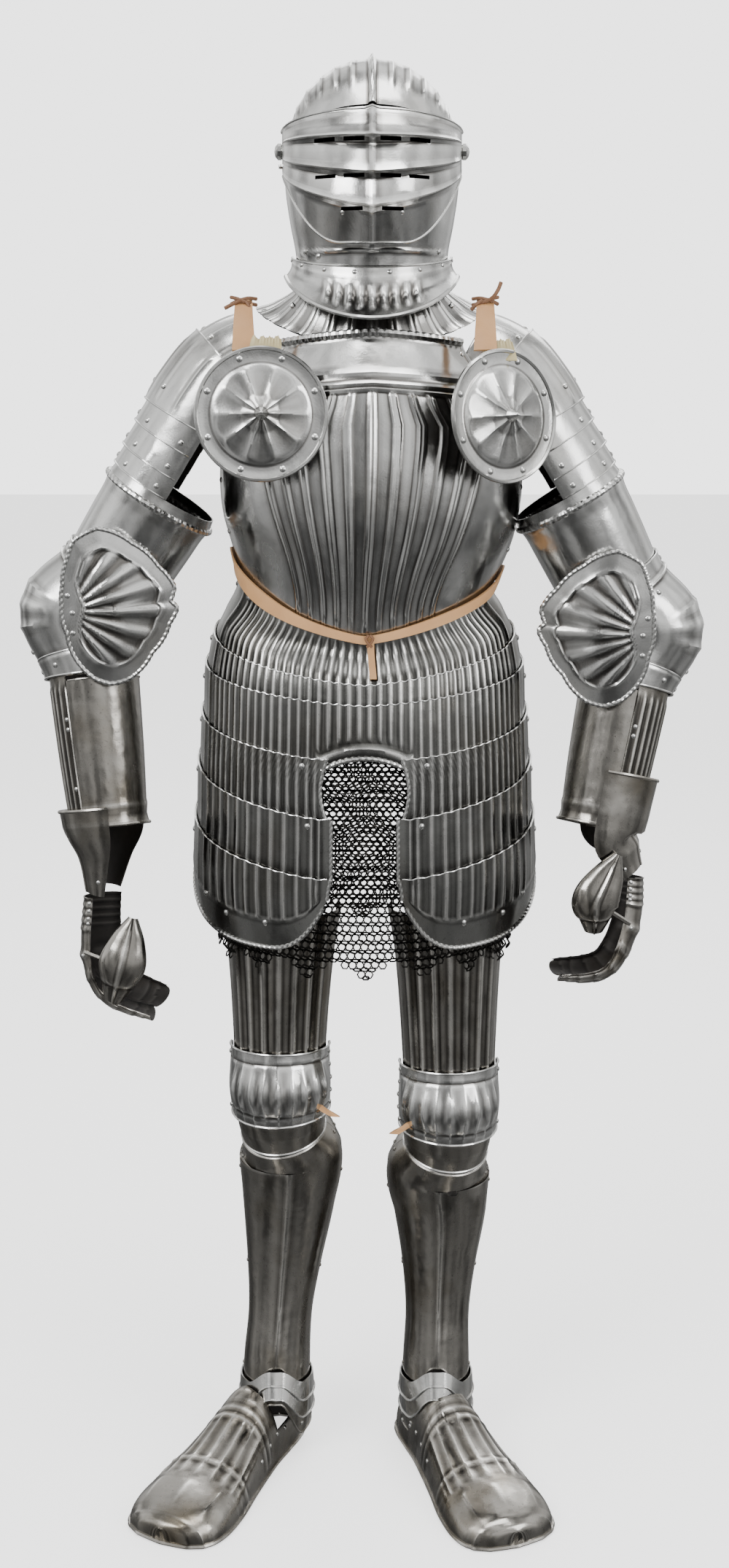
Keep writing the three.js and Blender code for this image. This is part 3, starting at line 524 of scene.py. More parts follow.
class Sheet:
    """A plate as a grid of points on its form, raised by its relief and given a wall."""

    def __init__(self, cols: int, rows: int, place: Place, relief: Place | None = None, lift: float = 0.0,
                 wrap: bool = False, thick: float = PLATE, hub: Place | None = None,
                 shade: Place | None = None) -> None:
        """Work out the grid.

        Args:
            cols: steps across.
            rows: steps along.
            place: base points from the shares u across and v along.
            relief: height above the base from u and v, if any.
            lift: height of the whole sheet above its base.
            wrap: the last column closes on the first.
            thick: the wall, inwards.
            hub: points that the sheet's outside faces away from, from the sheet's points.
            shade: painted shadow, 0 to 1, from u and v, where other plates lie over it.
        """
        self.cols, self.rows, self.wrap, self.thick = cols, rows, wrap, thick
        v, u = np.meshgrid(np.linspace(0, 1, rows + 1), np.linspace(0, 1, cols + 1), indexing="ij")
        base = place(np.where((u >= 1) & wrap, 0.0, u), v)
        normals = grid_normals(base, wrap)
        middle = hub(base) if hub else stacked(LEAN + 0 * base[..., 0], 0 * base[..., 1], base[..., 2])
        self.flipped = bool((normals * (base - middle)).sum() < 0)
        if self.flipped:
            normals = -normals
        height = lift + (relief(np.where((u >= 1) & wrap, 0.0, u), v) if relief else 0.0)
        self.points = base + normals * np.asarray(height + 0 * u)[..., None]
        fresh = grid_normals(self.points, wrap)
        self.normals = -fresh if self.flipped else fresh
        # painted light and wear from the bends: crests bright as wear and painted highlight, hollows dark as
        # painted shade
        self.painted_light_and_wear = grid_painted_light_and_wear(self.points, self.normals)
        # hollows of the relief, below their blurred surroundings, get more painted shade
        if relief:
            raised = height + 0 * u
            for axis in (0, 1):
                step = np.median(np.linalg.norm(np.diff(self.points, axis=axis), axis=-1))
                raised = blurred(raised, int(np.clip(round(BLUR / step), 1, BLUR_STEPS)), axis)
            self.painted_light_and_wear = self.painted_light_and_wear + np.clip((raised - height) / HOLLOW, -1, 1)
        # painted shadow where the next plate laps over
        if shade:
            self.painted_light_and_wear = self.painted_light_and_wear + shade(u, v)
        self.painted_light_and_wear = np.clip(self.painted_light_and_wear, -1, 1)

    def spot(self, u: float, v: float) -> tuple[Points, Points]:
        """Return a point of the sheet and its normal.

        Args:
            u: share across.
            v: share along.
        """
        i, j = round(v * self.rows), round(u * self.cols)
        return self.points[i, j], self.normals[i, j]

    def edge(self, name: str, start: float = 0.0, stop: float = 1.0) -> Points:
        """Return the points of one edge.

        Args:
            name: first or last row, or left or right column.
            start: where it starts, as a share.
            stop: where it stops.
        """
        lines = {"first": self.points[0], "last": self.points[-1], "left": self.points[:, 0],
                 "right": self.points[:, -1]}
        line = lines[name]
        top = len(line) - 1
        return line[round(start * top): round(stop * top) + 1]

    def row(self, v: float, start: float = 0.0, stop: float = 1.0) -> Points:
        """Return the points across the sheet at share v along it."""
        line = self.points[round(v * self.rows)]
        top = len(line) - 1
        return line[round(start * top): round(stop * top) + 1]

    def roll(self, edge: str, radius: float, finish: Finish, start: float = 0.01, stop: float = 0.99,
             **options: object) -> bpy.types.Object:
        """Return a bead or rope along one edge.

        Args:
            edge: the edge's name.
            radius: the bead's radius.
            finish: its finish.
            start: where it starts, as a share.
            stop: where it stops.
            options: what else tube takes.
        """
        return tube(self.edge(edge, start, stop), radius, finish, **options)

    def build(self, finish: Finish, lining: Finish | None = None) -> bpy.types.Object:
        """Make the sheet and give it its wall.

        Args:
            finish: what shows outside.
            lining: what shows inside, or None for the same.

        Returns:
            The new object.
        """
        obj = grid_object(self.points, self.painted_light_and_wear, finish)
        steps = []
        if self.flipped:
            steps.append(bpy.ops.mesh.flip_normals)
        if self.wrap:
            steps.append(lambda: bpy.ops.mesh.remove_doubles(threshold=CLOSE))
        if steps:
            edit(obj, *steps)
        # the lining is the near-black inside, a painted shade
        if lining:
            obj.data.materials.append(lining.material())
        applied(obj, "SOLIDIFY", thickness=self.thick * MM, offset=-1, material_offset=1 if lining else 0)
        return obj


def resampled(path: Points, step: float) -> Points:
    """Return points at an even step along a path."""
    lengths = np.concatenate([[0], np.cumsum(np.linalg.norm(np.diff(path, axis=0), axis=1))])
    count = max(int(lengths[-1] / step), 3)
    even = np.linspace(0, lengths[-1], count + 1)
    return np.stack([np.interp(even, lengths, path[:, k]) for k in range(3)], axis=1)


def tube(path: Points, radius: float, finish: Finish, pitch: float = 0.0,
         closed: bool = False) -> bpy.types.Object:
    """Make a bead, rolled edge, thong or twisted rope along a path.

    Args:
        path: points along its middle, in millimetres.
        radius: its radius.
        finish: its finish.
        pitch: length of one strand of a rope; 0 is plain.
        closed: the path comes back to its start.

    Returns:
        The new object.
    """
    line = resampled(path, pitch / 5 if pitch else max(1.4 * radius, 2.6))
    rows = len(line) - 1
    sides = 8 if pitch else 6
    along = np.gradient(line, axis=0)
    if closed:
        along[0] = along[-1] = line[1] - line[-2]
    along = unit(along)
    up = np.eye(3)[int(np.argmin(np.abs(along).max(axis=0)))]
    side = unit(np.cross(along, up))
    top = np.cross(side, along)
    v, u = np.meshgrid(np.arange(rows + 1), np.arange(sides + 1) % sides, indexing="ij")
    turn = 2 * np.pi * u / sides
    reach = np.full(turn.shape, radius)
    # plain beads are painted brighter: wear and painted highlight
    painted_light_and_wear = np.full(turn.shape, BEAD_WEAR_AND_SHEEN)
    if pitch:
        arc = v * np.linalg.norm(line[1] - line[0])
        strand = np.abs(np.sin(np.pi * arc / pitch + turn))
        reach = reach * (0.80 + 0.24 * strand)
        # rope strands painted bright and the grooves between them dark: painted highlight and painted shade
        painted_light_and_wear = (0.5 - strand) * 1.6
    grid = line[:, None] + reach[..., None] * (
        np.cos(turn)[..., None] * side[:, None] + np.sin(turn)[..., None] * top[:, None])
    obj = grid_object(grid, painted_light_and_wear, finish)
    edit(obj, lambda: bpy.ops.mesh.remove_doubles(threshold=CLOSE),
         lambda: bpy.ops.mesh.fill_holes(sides=0),
         lambda: bpy.ops.mesh.normals_make_consistent(inside=False))
    return obj


def strip(start: Sequence[float], end: Sequence[float], width: tuple[float, float],
          finish: Finish, bow: float = 4.0, thick: float = 2.2, frayed: float = 0.0) -> bpy.types.Object:
    """Make a short flat strap that bows towards the front.

    Args:
        start: the middle of its first end.
        end: the middle of its far end.
        width: its width at the two ends.
        finish: its finish.
        bow: how far its middle stands forward.
        thick: its thickness.
        frayed: how ragged its first end is.

    Returns:
        The new object.
    """
    first, last = np.array(start, float), np.array(end, float)

    def place(u: Points, v: Points) -> Points:
        """Return the strap's middle sheet, bowed and with a ragged first end."""
        line = lerp(first, last, v[..., None])
        ragged = frayed * (1 - v) ** 4 * np.sin(u * 23 + np.sin(u * 41))
        return stacked(line[..., 0] + (u - 0.5) * lerp(width[0], width[1], v),
                       line[..., 1] - bow * np.sin(np.pi * v), line[..., 2] + ragged)

    sheet = Sheet(20, 20, place, lambda u, v: 0.5 * np.sin(u * 3 + v * 5), thick=thick,
                  hub=lambda p: p + (0, 40, -30))
    return sheet.build(finish)


class Studs:
    """Domed rivet heads, modelled once and copied into one mesh."""

    swell = 1.22              # heads are hammered wider than their shanks
    flat = 0.62               # height of a head's dome as a share of its radius

    def __init__(self) -> None:
        """Model the head from a sphere: a low dome."""
        deselect()
        bpy.ops.mesh.primitive_uv_sphere_add(segments=10, ring_count=5, radius=1)
        head = bpy.context.object
        edit(head, lambda: bpy.ops.transform.resize(value=(1, 1, self.flat)))
        self.points, self.faces = taken(head)

    def build(self, spots: Sequence[tuple[Points, Points]], radius: float,
              finish: Finish) -> bpy.types.Object:
        """Set heads on a plate.

        Args:
            spots: a point and a normal for each head.
            radius: the heads' radius.
            finish: their finish.

        Returns:
            One object with all the heads.
        """
        points, faces = [], []
        for spot, normal in spots:
            helper = np.eye(3)[int(np.argmin(np.abs(normal)))]
            across = unit(np.cross(normal, helper))
            turned = np.stack([across, np.cross(normal, across), normal])
            start = len(points) * len(self.points)
            points.append(spot + self.swell * radius * (self.points @ turned))
            faces += [[k + start for k in face] for face in self.faces]
        obj = copies_object(points, faces, finish)
        # rivet heads painted brighter: wear and painted highlight
        set_painted_light_and_wear(obj, np.full(len(obj.data.vertices), STUD_WEAR_AND_SHEEN))
        return obj


STUDS = Studs()


def finished(node: str, pieces: Sequence[bpy.types.Object], body: str = "suit",
             replaced: bool = True, angle: float = 33.0) -> bpy.types.Object:
    """Join the pieces of one plate, smooth it and set it on the suit.

    Args:
        node: the CAD node it stands for, or its own name.
        pieces: what it is made of; the first gives the object.
        body: the CAD body it moves with.
        replaced: it stands for the node of that name.
        angle: edges sharper than this stay sharp, in degrees.

    Returns:
        The finished object.
    """
    obj = joined(pieces)
    obj.name = f"{node}_worked"
    obj.data.name = obj.name
    bpy.ops.object.shade_smooth_by_angle(angle=math.radians(angle))
    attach(obj, body)
    if replaced:
        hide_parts(node)
    LOG.info("%s: %d faces", obj.name, len(obj.data.polygons))
    return obj


def level(value: float) -> Edge:
    """Return an edge at one place all the way round."""
    return lambda degrees: value + 0 * degrees


def plate(form: Form, span: Span | tuple[float, float], first: Edge,
          last: Edge, cols: int, rows: int, lift: float = 0.0,
          relief: Relief | None = None, **options: object) -> Sheet:
    """Work out a plate that follows a form.

    Args:
        form: the form.
        span: the plate's two side angles, or a function of the share along it that gives them.
        first: where its first edge lies along the form, by angle.
        last: where its last edge lies.
        cols: steps across.
        rows: steps along.
        lift: height above the form.
        relief: more height from the angle, the place along the form and the share along the plate.
        options: what else Sheet takes.

    Returns:
        The sheet.
    """
    def spots(u: Points, v: Points) -> tuple[Points, Points]:
        """Return the angle and the place along the form at shares u and v."""
        low, high = span(v) if callable(span) else span
        degrees = lerp(low, high, u)
        return degrees, lerp(first(degrees), last(degrees), v)

    def place(u: Points, v: Points) -> Points:
        """Return the form's points at shares u and v."""
        degrees, at = spots(u, v)
        return form.skin(at, degrees)

    def raised(u: Points, v: Points) -> Points:
        """Return the relief at shares u and v."""
        degrees, at = spots(u, v)
        return relief(degrees, at, v)

    def hub(points: Points) -> Points:
        """Return the form's middle beside each point."""
        v, u = np.meshgrid(np.linspace(0, 1, rows + 1), np.linspace(0, 1, cols + 1), indexing="ij")
        return form.middle(spots(u, v)[1])

    return Sheet(cols, rows, place, raised if relief else None, lift, hub=hub, **options)


# ---------------------------------------------------------------- helmet
@dataclass
class Helmet:
    """Closed helmet: fluted skull with a low comb, bevor, bellows visor and flanged collar."""

    width: float = 102.0
    front: float = 107.0
    top: float = 106.0
    back: float = 116.0
    comb: float = 7.0
    half: float = 97.0            # degrees that bevor and visor reach each way
    visor_width: float = 108.4

    nape = Table("at w b", [[EAR_Z, 102, 116], [1650, 101, 113], [1605, 95, 100], [1568, 89, 89]])
    bellows = np.array([[1722, 122, 1704], [1703, 137, 1700], [1690, 153, 1696], [1682, 141, 1693],
                        [1650, 158, 1684], [1642, 146, 1681], [1614, 154, 1674], [1606, 143, 1672],
                        [1573, 128, 1662]], float)
    cheek = Form([
        [1710, LEAN, 0, 1710, 105.6, 108, 108],
        [1680, LEAN, 0, 1680, 105.6, 110, 108],
        [1640, LEAN, 0, 1640, 104.6, 112, 108],
        [1600, LEAN, 0, 1600, 99, 112, 100],
        [1568, LEAN, 0, 1568, 93, 104, 94],
        [1546, LEAN, 0, 1546, 92, 102, 93],
    ])

    def skull(self) -> None:
        """Work the skull with its comb and the flutes that run back beside it."""
        dome, nape = 48, 8

        def turns(v: Points) -> tuple[Points, Points]:
            """Return the angle back over the dome, and the share down the nape."""
            step = v * (dome + nape)
            return lerp(24.0, 180.0, np.minimum(step / dome, 1)), np.maximum(step - dome, 0) / nape

        def sweeps(u: Points) -> Points:
            """Return the angle out from the comb, closer together near it."""
            s = 2 * u - 1
            return 90 * np.sign(s) * np.abs(s) ** 1.3

        def place(u: Points, v: Points) -> Points:
            """Return the dome's points and, below the ears, the nape's."""
            turn, lowered = turns(v)
            sweep, turn = np.radians(sweeps(u)), np.radians(turn)
            depth = np.where(np.cos(turn) > 0, self.front, self.back)
            r = np.hypot(depth * np.cos(turn), self.top * np.sin(turn)) * np.cos(sweep)
            domed = stacked(self.width * np.sin(sweep), -r * np.cos(turn), EAR_Z + r * np.sin(turn))
            z = lerp(EAR_Z, self.nape.at[0], lowered)
            low = stacked(self.nape.read("w", z) * np.sin(sweep),
                          self.nape.read("b", z) * np.cos(sweep), z)
            return np.where(lowered[..., None] > 0, low, domed) + (LEAN, 0, 0)

        def relief(u: Points, v: Points) -> Points:
            """Return the roped comb and the flutes beside it."""
            turn, lowered = turns(v)
            sweep = sweeps(u)
            strand = np.abs(np.sin(np.pi * (turn / 4.6 + sweep / 3.2)))
            comb = self.comb * np.clip(1 - (sweep / 2.6) ** 2, 0, 1) ** 0.6 * (0.82 + 0.2 * strand)
            comb = comb * smooth(np.sin(np.radians(turn)), 0, 0.45) * (lowered <= 0)
            away = np.abs(sweep)
            lines = sum(np.clip(1 - np.abs(away - at) / 2.3, 0, 1) ** 1.3 for at in (13, 25, 37, 49, 61))
            lines = 2.6 * lines * smooth(turn, 34, 50) * smooth(1 - lowered, 0.3, 0.8)
            return comb + lines

        sheet = Sheet(112, dome + nape, place, relief, hub=lambda p: np.array([LEAN, 0, EAR_Z - 20]) + 0 * p)
        body = sheet.build(BRIGHT_STEEL, INSIDE_SHADE_STEEL)
        finished("helmet_skull", [body])

    def bevor(self) -> None:
        """Work the bevor with its keel and the pivot bolts."""
        def relief(degrees: Points, at: Points, v: Points) -> Points:
            """Return the keel and the lower line."""
            keel = 5 * bump(degrees, 0, 7) * smooth(at, 1552, 1590)
            return keel + 1.4 * bump(at, 1566, 2.2) * smooth(80 - np.abs(degrees), 0, 10)

        sheet = plate(self.cheek, (-self.half, self.half),
                      lambda d: lerp(1600, 1704, smooth(np.abs(d), 30, 86)),
                      level(1548), 80, 28, relief=relief)
        body = sheet.build(BRIGHT_STEEL, INSIDE_SHADE_STEEL)
        bolts = [(np.array([LEAN + side * 111.6, 0.0, EAR_Z]), np.array([side, 0.0, 0.0]))
                 for side in (-1, 1)]
        heads = STUDS.build(bolts, 8.5, BRIGHT_STEEL)
        hooks = [sheet.spot(u, 0.82) for u in (0.2, 0.27, 0.8)]
        rivets = STUDS.build(hooks, 3.0, BRIGHT_STEEL)
        finished("helmet_bevor", [body, heads, rivets])

    def visor(self) -> None:
        """Work the bellows visor, cut its sights and breaths, and set its lifting peg."""
        last = len(self.bellows) - 1

        def place(u: Points, v: Points) -> Points:
            """Return the bellows' points, drawn back to the pivots at both sides."""
            degrees = lerp(-self.half, self.half, u)
            back = np.abs(degrees) / self.half
            sine, cosine = np.sin(np.radians(degrees)), np.cos(np.radians(degrees))
            rows = []
            for k, (front, depth, side) in enumerate(self.bellows):
                rise = smooth(back, 0.2, 0.95) if k == last else back ** 1.5
                reach = np.where(cosine > 0, depth, self.visor_width)
                x = self.visor_width * sine + LEAN
                rows.append(stacked(x, -reach * cosine, lerp(front, side, rise)))
            step = np.clip(v * last, 0, last - 1e-9)
            low = step.astype(int)[None, ..., None]
            rows = np.stack(rows)
            first = np.take_along_axis(rows, low, 0)[0]
            second = np.take_along_axis(rows, low + 1, 0)[0]
            return lerp(first, second, (step - np.floor(step))[..., None])

        def relief(u: Points, v: Points) -> Points:
            """Return the keel and the raised lips."""
            degrees = lerp(-self.half, self.half, u)
            keel = 3.4 * np.clip(1 - np.abs(degrees) / 3.2, 0, 1) * (1 - 0.4 * v)
            lips = sum(1.3 * bump(v * last, at, 0.16) for at in (0.15, 2, 4, 6))
            return keel + lips * smooth(92 - np.abs(degrees), 0, 30)

        sheet = Sheet(84, 7 * last, place, relief)
        shell = sheet.build(BRIGHT_STEEL, INSIDE_SHADE_STEEL)
        self.pierce(shell)
        root = sheet.spot(0.045, 0.72)[0]
        out = np.array([-1.0, -0.2, 0.0])
        peg = tube(np.stack([root - 2 * out, root + 4 * out]), 3.0, BRIGHT_STEEL)
        rim = tube(sheet.edge("first", 0.06, 0.94), 1.9, BRIGHT_STEEL)
        chin = tube(sheet.edge("last", 0.08, 0.92), 1.5, BRIGHT_STEEL)
        rivets = STUDS.build([sheet.spot(u, 0.9) for u in (0.4, 0.6)], 2.2, BRIGHT_STEEL)
        finished("visor", [shell, rim, chin, peg, rivets], body="visor_body")

    def pierce(self, shell: bpy.types.Object) -> None:
        """Cut the slots and the bolt holes out of the visor."""
        sizes = []
        for z, starts, length in ((1686.5, (9, 43), 24), (1646, (9, 42), 24), (1610, (11,), 25)):
            sizes += [(side * (start + length / 2), z, length) for start in starts for side in (-1, 1)]
        cutters = []
        for x, z, length in sizes:
            deselect()
            bpy.ops.mesh.primitive_cube_add(size=1, location=metres([x + LEAN, -140, z]),
                                            scale=(length * MM, 70 * MM, 4.2 * MM))
            cutters.append(bpy.context.object)
        for side in (-1, 1):
            deselect()
            bpy.ops.mesh.primitive_cylinder_add(vertices=24, radius=5.9 * MM, depth=16 * MM,
                                                location=metres([side * 108 + LEAN, 0, EAR_Z]),
                                                rotation=(0, math.pi / 2, 0))
            cutters.append(bpy.context.object)
        cut(shell, cutters)

    def collar(self) -> None:
        """Work the flanged collar with its short fan of flutes, rolled rim and rivets."""
        rim = Table("at w f b", [[0, 97, 108, 99], [0.5, 99, 119, 107], [1, 105, 152, 132]])

        def place(u: Points, v: Points) -> Points:
            """Return the flange's points, low before and behind."""
            angle = 2 * np.pi * u
            forward = np.cos(angle)
            low = lerp(1541, np.where(forward > 0, 1488, 1500), np.abs(forward) ** 1.4)
            high = lerp(1563, 1547, np.abs(forward))
            depth = np.where(forward >= 0, rim.read("f", v), rim.read("b", v))
            z = lerp(high, low, v ** 0.8)
            return stacked(rim.read("w", v) * np.sin(angle) + LEAN, -depth * forward, z)

        def relief(u: Points, v: Points) -> Points:
            """Return the short fan of flutes and the upper line."""
            degrees = np.where(u > 0.5, u - 1, u) * 360
            fan = crest(degrees / 8.2, 1.3) * smooth(39 - np.abs(degrees), 0, 3) * smooth(v, 0.2, 0.4)
            return 2.0 * fan * smooth(0.86 - v, 0, 0.16) + 0.8 * bump(v, 0.14, 0.04)

        sheet = Sheet(264, 16, place, relief, wrap=True)
        body = sheet.build(BRIGHT_STEEL, INSIDE_SHADE_STEEL)
        roll = tube(sheet.edge("last"), 2.6, BRIGHT_STEEL, closed=True)
        neck = tube(sheet.edge("first"), 1.5, BRIGHT_STEEL, closed=True)
        spots = [sheet.spot((degrees / 360) % 1, 0.06) for degrees in range(-84, 85, 24)]
        rivets = STUDS.build(spots, 2.6, BRIGHT_STEEL)
        finished("helmet_collar", [body, roll, neck, rivets])

    def build(self) -> None:
        """Build the whole helmet."""
        self.skull()
        self.bevor()
        self.visor()
        self.collar()


# ---------------------------------------------------------------- torso
@dataclass
class Torso:
    """Gorget, breastplate, backplate and the waist belt."""

    flutes: int = 11
    flute_span: float = 52.0
    flute_height: float = 1.9
    fan_share: float = 0.72       # share of the columns that the flutes take

    breast = np.array([[1470, 1459, 50], [1458, 1447, 50], [1414, 1402, 52], [1392, 1372, 56],
                       [1350, 1340, 70], [1318, 1312, 90], [1268, 1280, 93], [1214, 1250, 93],
                       [1162, 1220, 93], [WAIST["front"], WAIST["side"] + 1, 93]], float)

    def gorget(self) -> None:
        """Work the cape of the gorget with its double flutes."""
        form = Table("at w f b z", [
            [0, 84, 92, 84, 1560], [1, 90, 98, 88, 1528], [2, 118, 108, 94, 1510], [3, 142, 116, 98, 1503]])

        def place(u: Points, v: Points) -> Points:
            """Return the cape's points, low before and behind."""
            angle = 2 * np.pi * u
            c = np.cos(angle)
            depth = np.where(c >= 0, form.read("f", 3 * v), form.read("b", 3 * v))
            z = form.read("z", 3 * v) - 46 * smooth(v, 0.2, 1) * np.abs(c) ** 1.5
            return stacked(form.read("w", 3 * v) * np.sin(angle) + LEAN, -depth * c, z)

        def relief(u: Points, v: Points) -> Points:
            """Return the double flutes."""
            degrees = u * 360
            pair = np.maximum(crest(degrees / 12 - 0.13, 9), crest(degrees / 12 + 0.13, 9))
            return 1.7 * pair * smooth(v, 0.3, 0.45)

        sheet = Sheet(330, 10, place, relief, wrap=True,
                      hub=lambda p: np.array([LEAN, 0, 1400.0]) + 0 * p)
        body = sheet.build(BRIGHT_STEEL, INSIDE_SHADE_STEEL)
        spots = [sheet.spot(u, v) for u, v in ((0.16, 0.62), (0.84, 0.62), (0.21, 0.9), (0.79, 0.9))]
        finished("gorget", [body, STUDS.build(spots, 3.2, BRIGHT_STEEL)])

    def breastplate(self) -> None:
        """Work the breastplate: roped neck edge, bright band, stop ribs and the fan of flutes."""
        last = len(self.breast) - 1

        def rows(v: Points, k: int) -> Points:
            """Return one column of the breast's outline at share v."""
            return np.interp(v * last, np.arange(last + 1), self.breast[:, k])

        def down(v: Points) -> Points:
            """Return the share down the plate, with more rows near the top."""
            return np.interp(v, (0, 0.55, 1), (0, 0.3, 1))

        def spots(u: Points, v: Points) -> tuple[Points, Points]:
            """Return the angle and the count of flutes from the middle."""
            half = rows(v, 2)
            fan = lerp(self.flute_span, 34, smooth(v, 0.3, 1)) * (1 + 0.8 / self.flutes)
            fan = np.minimum(fan, 0.86 * half)
            share = (2 * u - 1) / self.fan_share
            past = np.clip((np.abs(2 * u - 1) - self.fan_share) / (1 - self.fan_share), 0, 1)
            past = np.sign(share) * past
            return np.clip(share, -1, 1) * fan + past * (half - fan), share * (self.flutes / 2 + 0.4)

        def place(u: Points, v: Points) -> Points:
            """Return the plate's points, with columns that follow the flutes."""
            v = down(v)
            half = rows(v, 2)
            degrees = spots(u, v)[0]
            at = lerp(rows(v, 0), rows(v, 1), (np.abs(degrees) / half) ** WAIST["power"])
            return TORSO.skin(at, degrees)

        def relief(u: Points, v: Points) -> Points:
            """Return the fan of flutes, the stop ribs, the neck and the side rims."""
            v = down(v)
            place_in = spots(u, v)[1]
            inside = smooth(self.flutes / 2 + 0.3 - np.abs(place_in), 0, 0.3)
            inside = inside * smooth(v, 0.262, 0.285) * smooth(1 - v, 0, 0.06)
            twin = np.maximum(crest(place_in - 0.09, 14), crest(place_in + 0.09, 14))
            steps = sum(bump(v * last, at, 0.085) for at in (1.72, 2.02, 2.3))
            sides = 1.6 * (smooth(0.022 - np.minimum(u, 1 - u), 0, 0.012)) * smooth(v, 0.1, 0.2)
            return self.flute_height * inside * twin + 2.4 * steps + 3.0 * bump(v * last, 0, 0.3) + sides

        sheet = Sheet(204, 54, place, relief)
        body = sheet.build(BRIGHT_STEEL, INSIDE_SHADE_STEEL)
        rope = tube(sheet.edge("first", 0, 1) + (0, -1.0, 0), 5.2, BRIGHT_STEEL, pitch=9)
        spots = [sheet.spot(u, v) for v in (0.5, 0.62, 0.76, 0.9) for u in (0.03, 0.97)]
        spots += [sheet.spot(u, v) for v in (0.2, 0.42) for u in (0.04, 0.96)]
        sides = [sheet.roll(edge, 2.2, BRIGHT_STEEL, 0.02, 0.55) for edge in ("left", "right")]
        rivets = STUDS.build(spots, 3.0, BRIGHT_STEEL)
        finished("breastplate", [body, rope, *sides, rivets])

    def backplate(self) -> None:
        """Work the backplate, with a plainer fan of flutes than the breast."""
        def relief(degrees: Points, at: Points, v: Points) -> Points:
            """Return the fan of flutes and its upper line."""
            turn = degrees - 180
            inside = smooth(50 - np.abs(turn), 0, 6) * smooth(v, 0.16, 0.24) * smooth(1 - v, 0, 0.12)
            return 2.2 * inside * ridge(turn / lerp(11.0, 7.0, v)) + 2.0 * bump(v, 0.1, 0.012)

        sheet = plate(TORSO, (86, 274), lambda d: lerp(1462, 1330, smooth(np.abs(d - 180), 48, 92)),
                      lambda d: waistline(d) + 1, 130, 26, lift=-LAP - 1.2, relief=relief)
        body = sheet.build(BRIGHT_STEEL, INSIDE_SHADE_STEEL)
        edge = tube(sheet.edge("first", 0.02, 0.98), 2.4, BRIGHT_STEEL)
        finished("backplate", [body, edge])

    def belt(self) -> None:
        """Make the tan belt that lies along the waistline, its dark knot and its free end."""
        def wide(degrees: Points) -> Points:
            """Return half of the belt's width at each angle."""
            return lerp(5, 11, smooth(np.abs(degrees), 0, 80))

        def relief(degrees: Points, at: Points, v: Points) -> Points:
            """Return the belt's slight waves."""
            waves = np.sin(np.radians(degrees * 9)) * bump(v, 0.5, 0.5)
            return 0.5 * bump(degrees, 31, 12) + 0.35 * waves

        belt_lift = LAP + 2.6
        ring = plate(SKIRT, (-180, 180), lambda d: waistline(d) + wide(d), lambda d: waistline(d) - wide(d),
                     180, 6, lift=belt_lift, relief=relief, thick=2.2, wrap=True)
        end = plate(SKIRT, lambda v: (lerp(0.9, 1.9, v), lerp(4.0, 4.2, v)), level(1113), level(1066),
                    4, 22, lift=belt_lift, relief=lambda d, at, v: 0.5 * np.sin(v * 7), thick=1.8)
        knot_at = ring.points[3, 91]
        loops = [tube(knot_at + np.array([[side * 1.0, -1.2, 6], [side * 5, -3.4, 2],
                                                       [side * 1.5, -3.8, -3], [-side * 3, -2.6, -8]]),
                      1.7, THONG) for side in (-1, 1)]
        pieces = [ring.build(TAN_LEATHER), end.build(TAN_LEATHER), *loops]
        finished("waist_belt", pieces, angle=50)

    def build(self) -> None:
        """Build the torso."""
        self.gorget()
        self.breastplate()
        self.backplate()
        self.belt()


# ---------------------------------------------------------------- hips
def rising(low: float, high: float, start: float = 0.0) -> Edge:
    """Return an edge that rises from the middle to the side seam."""
    return lambda d: lerp(low, high, (np.maximum(np.abs(d) - start, 0) / (90 - start)) ** 1.3)


def lowered(edge: Edge, drop: float) -> Edge:
    """Return an edge that lies lower by some distance."""
    return lambda degrees: edge(degrees) - drop


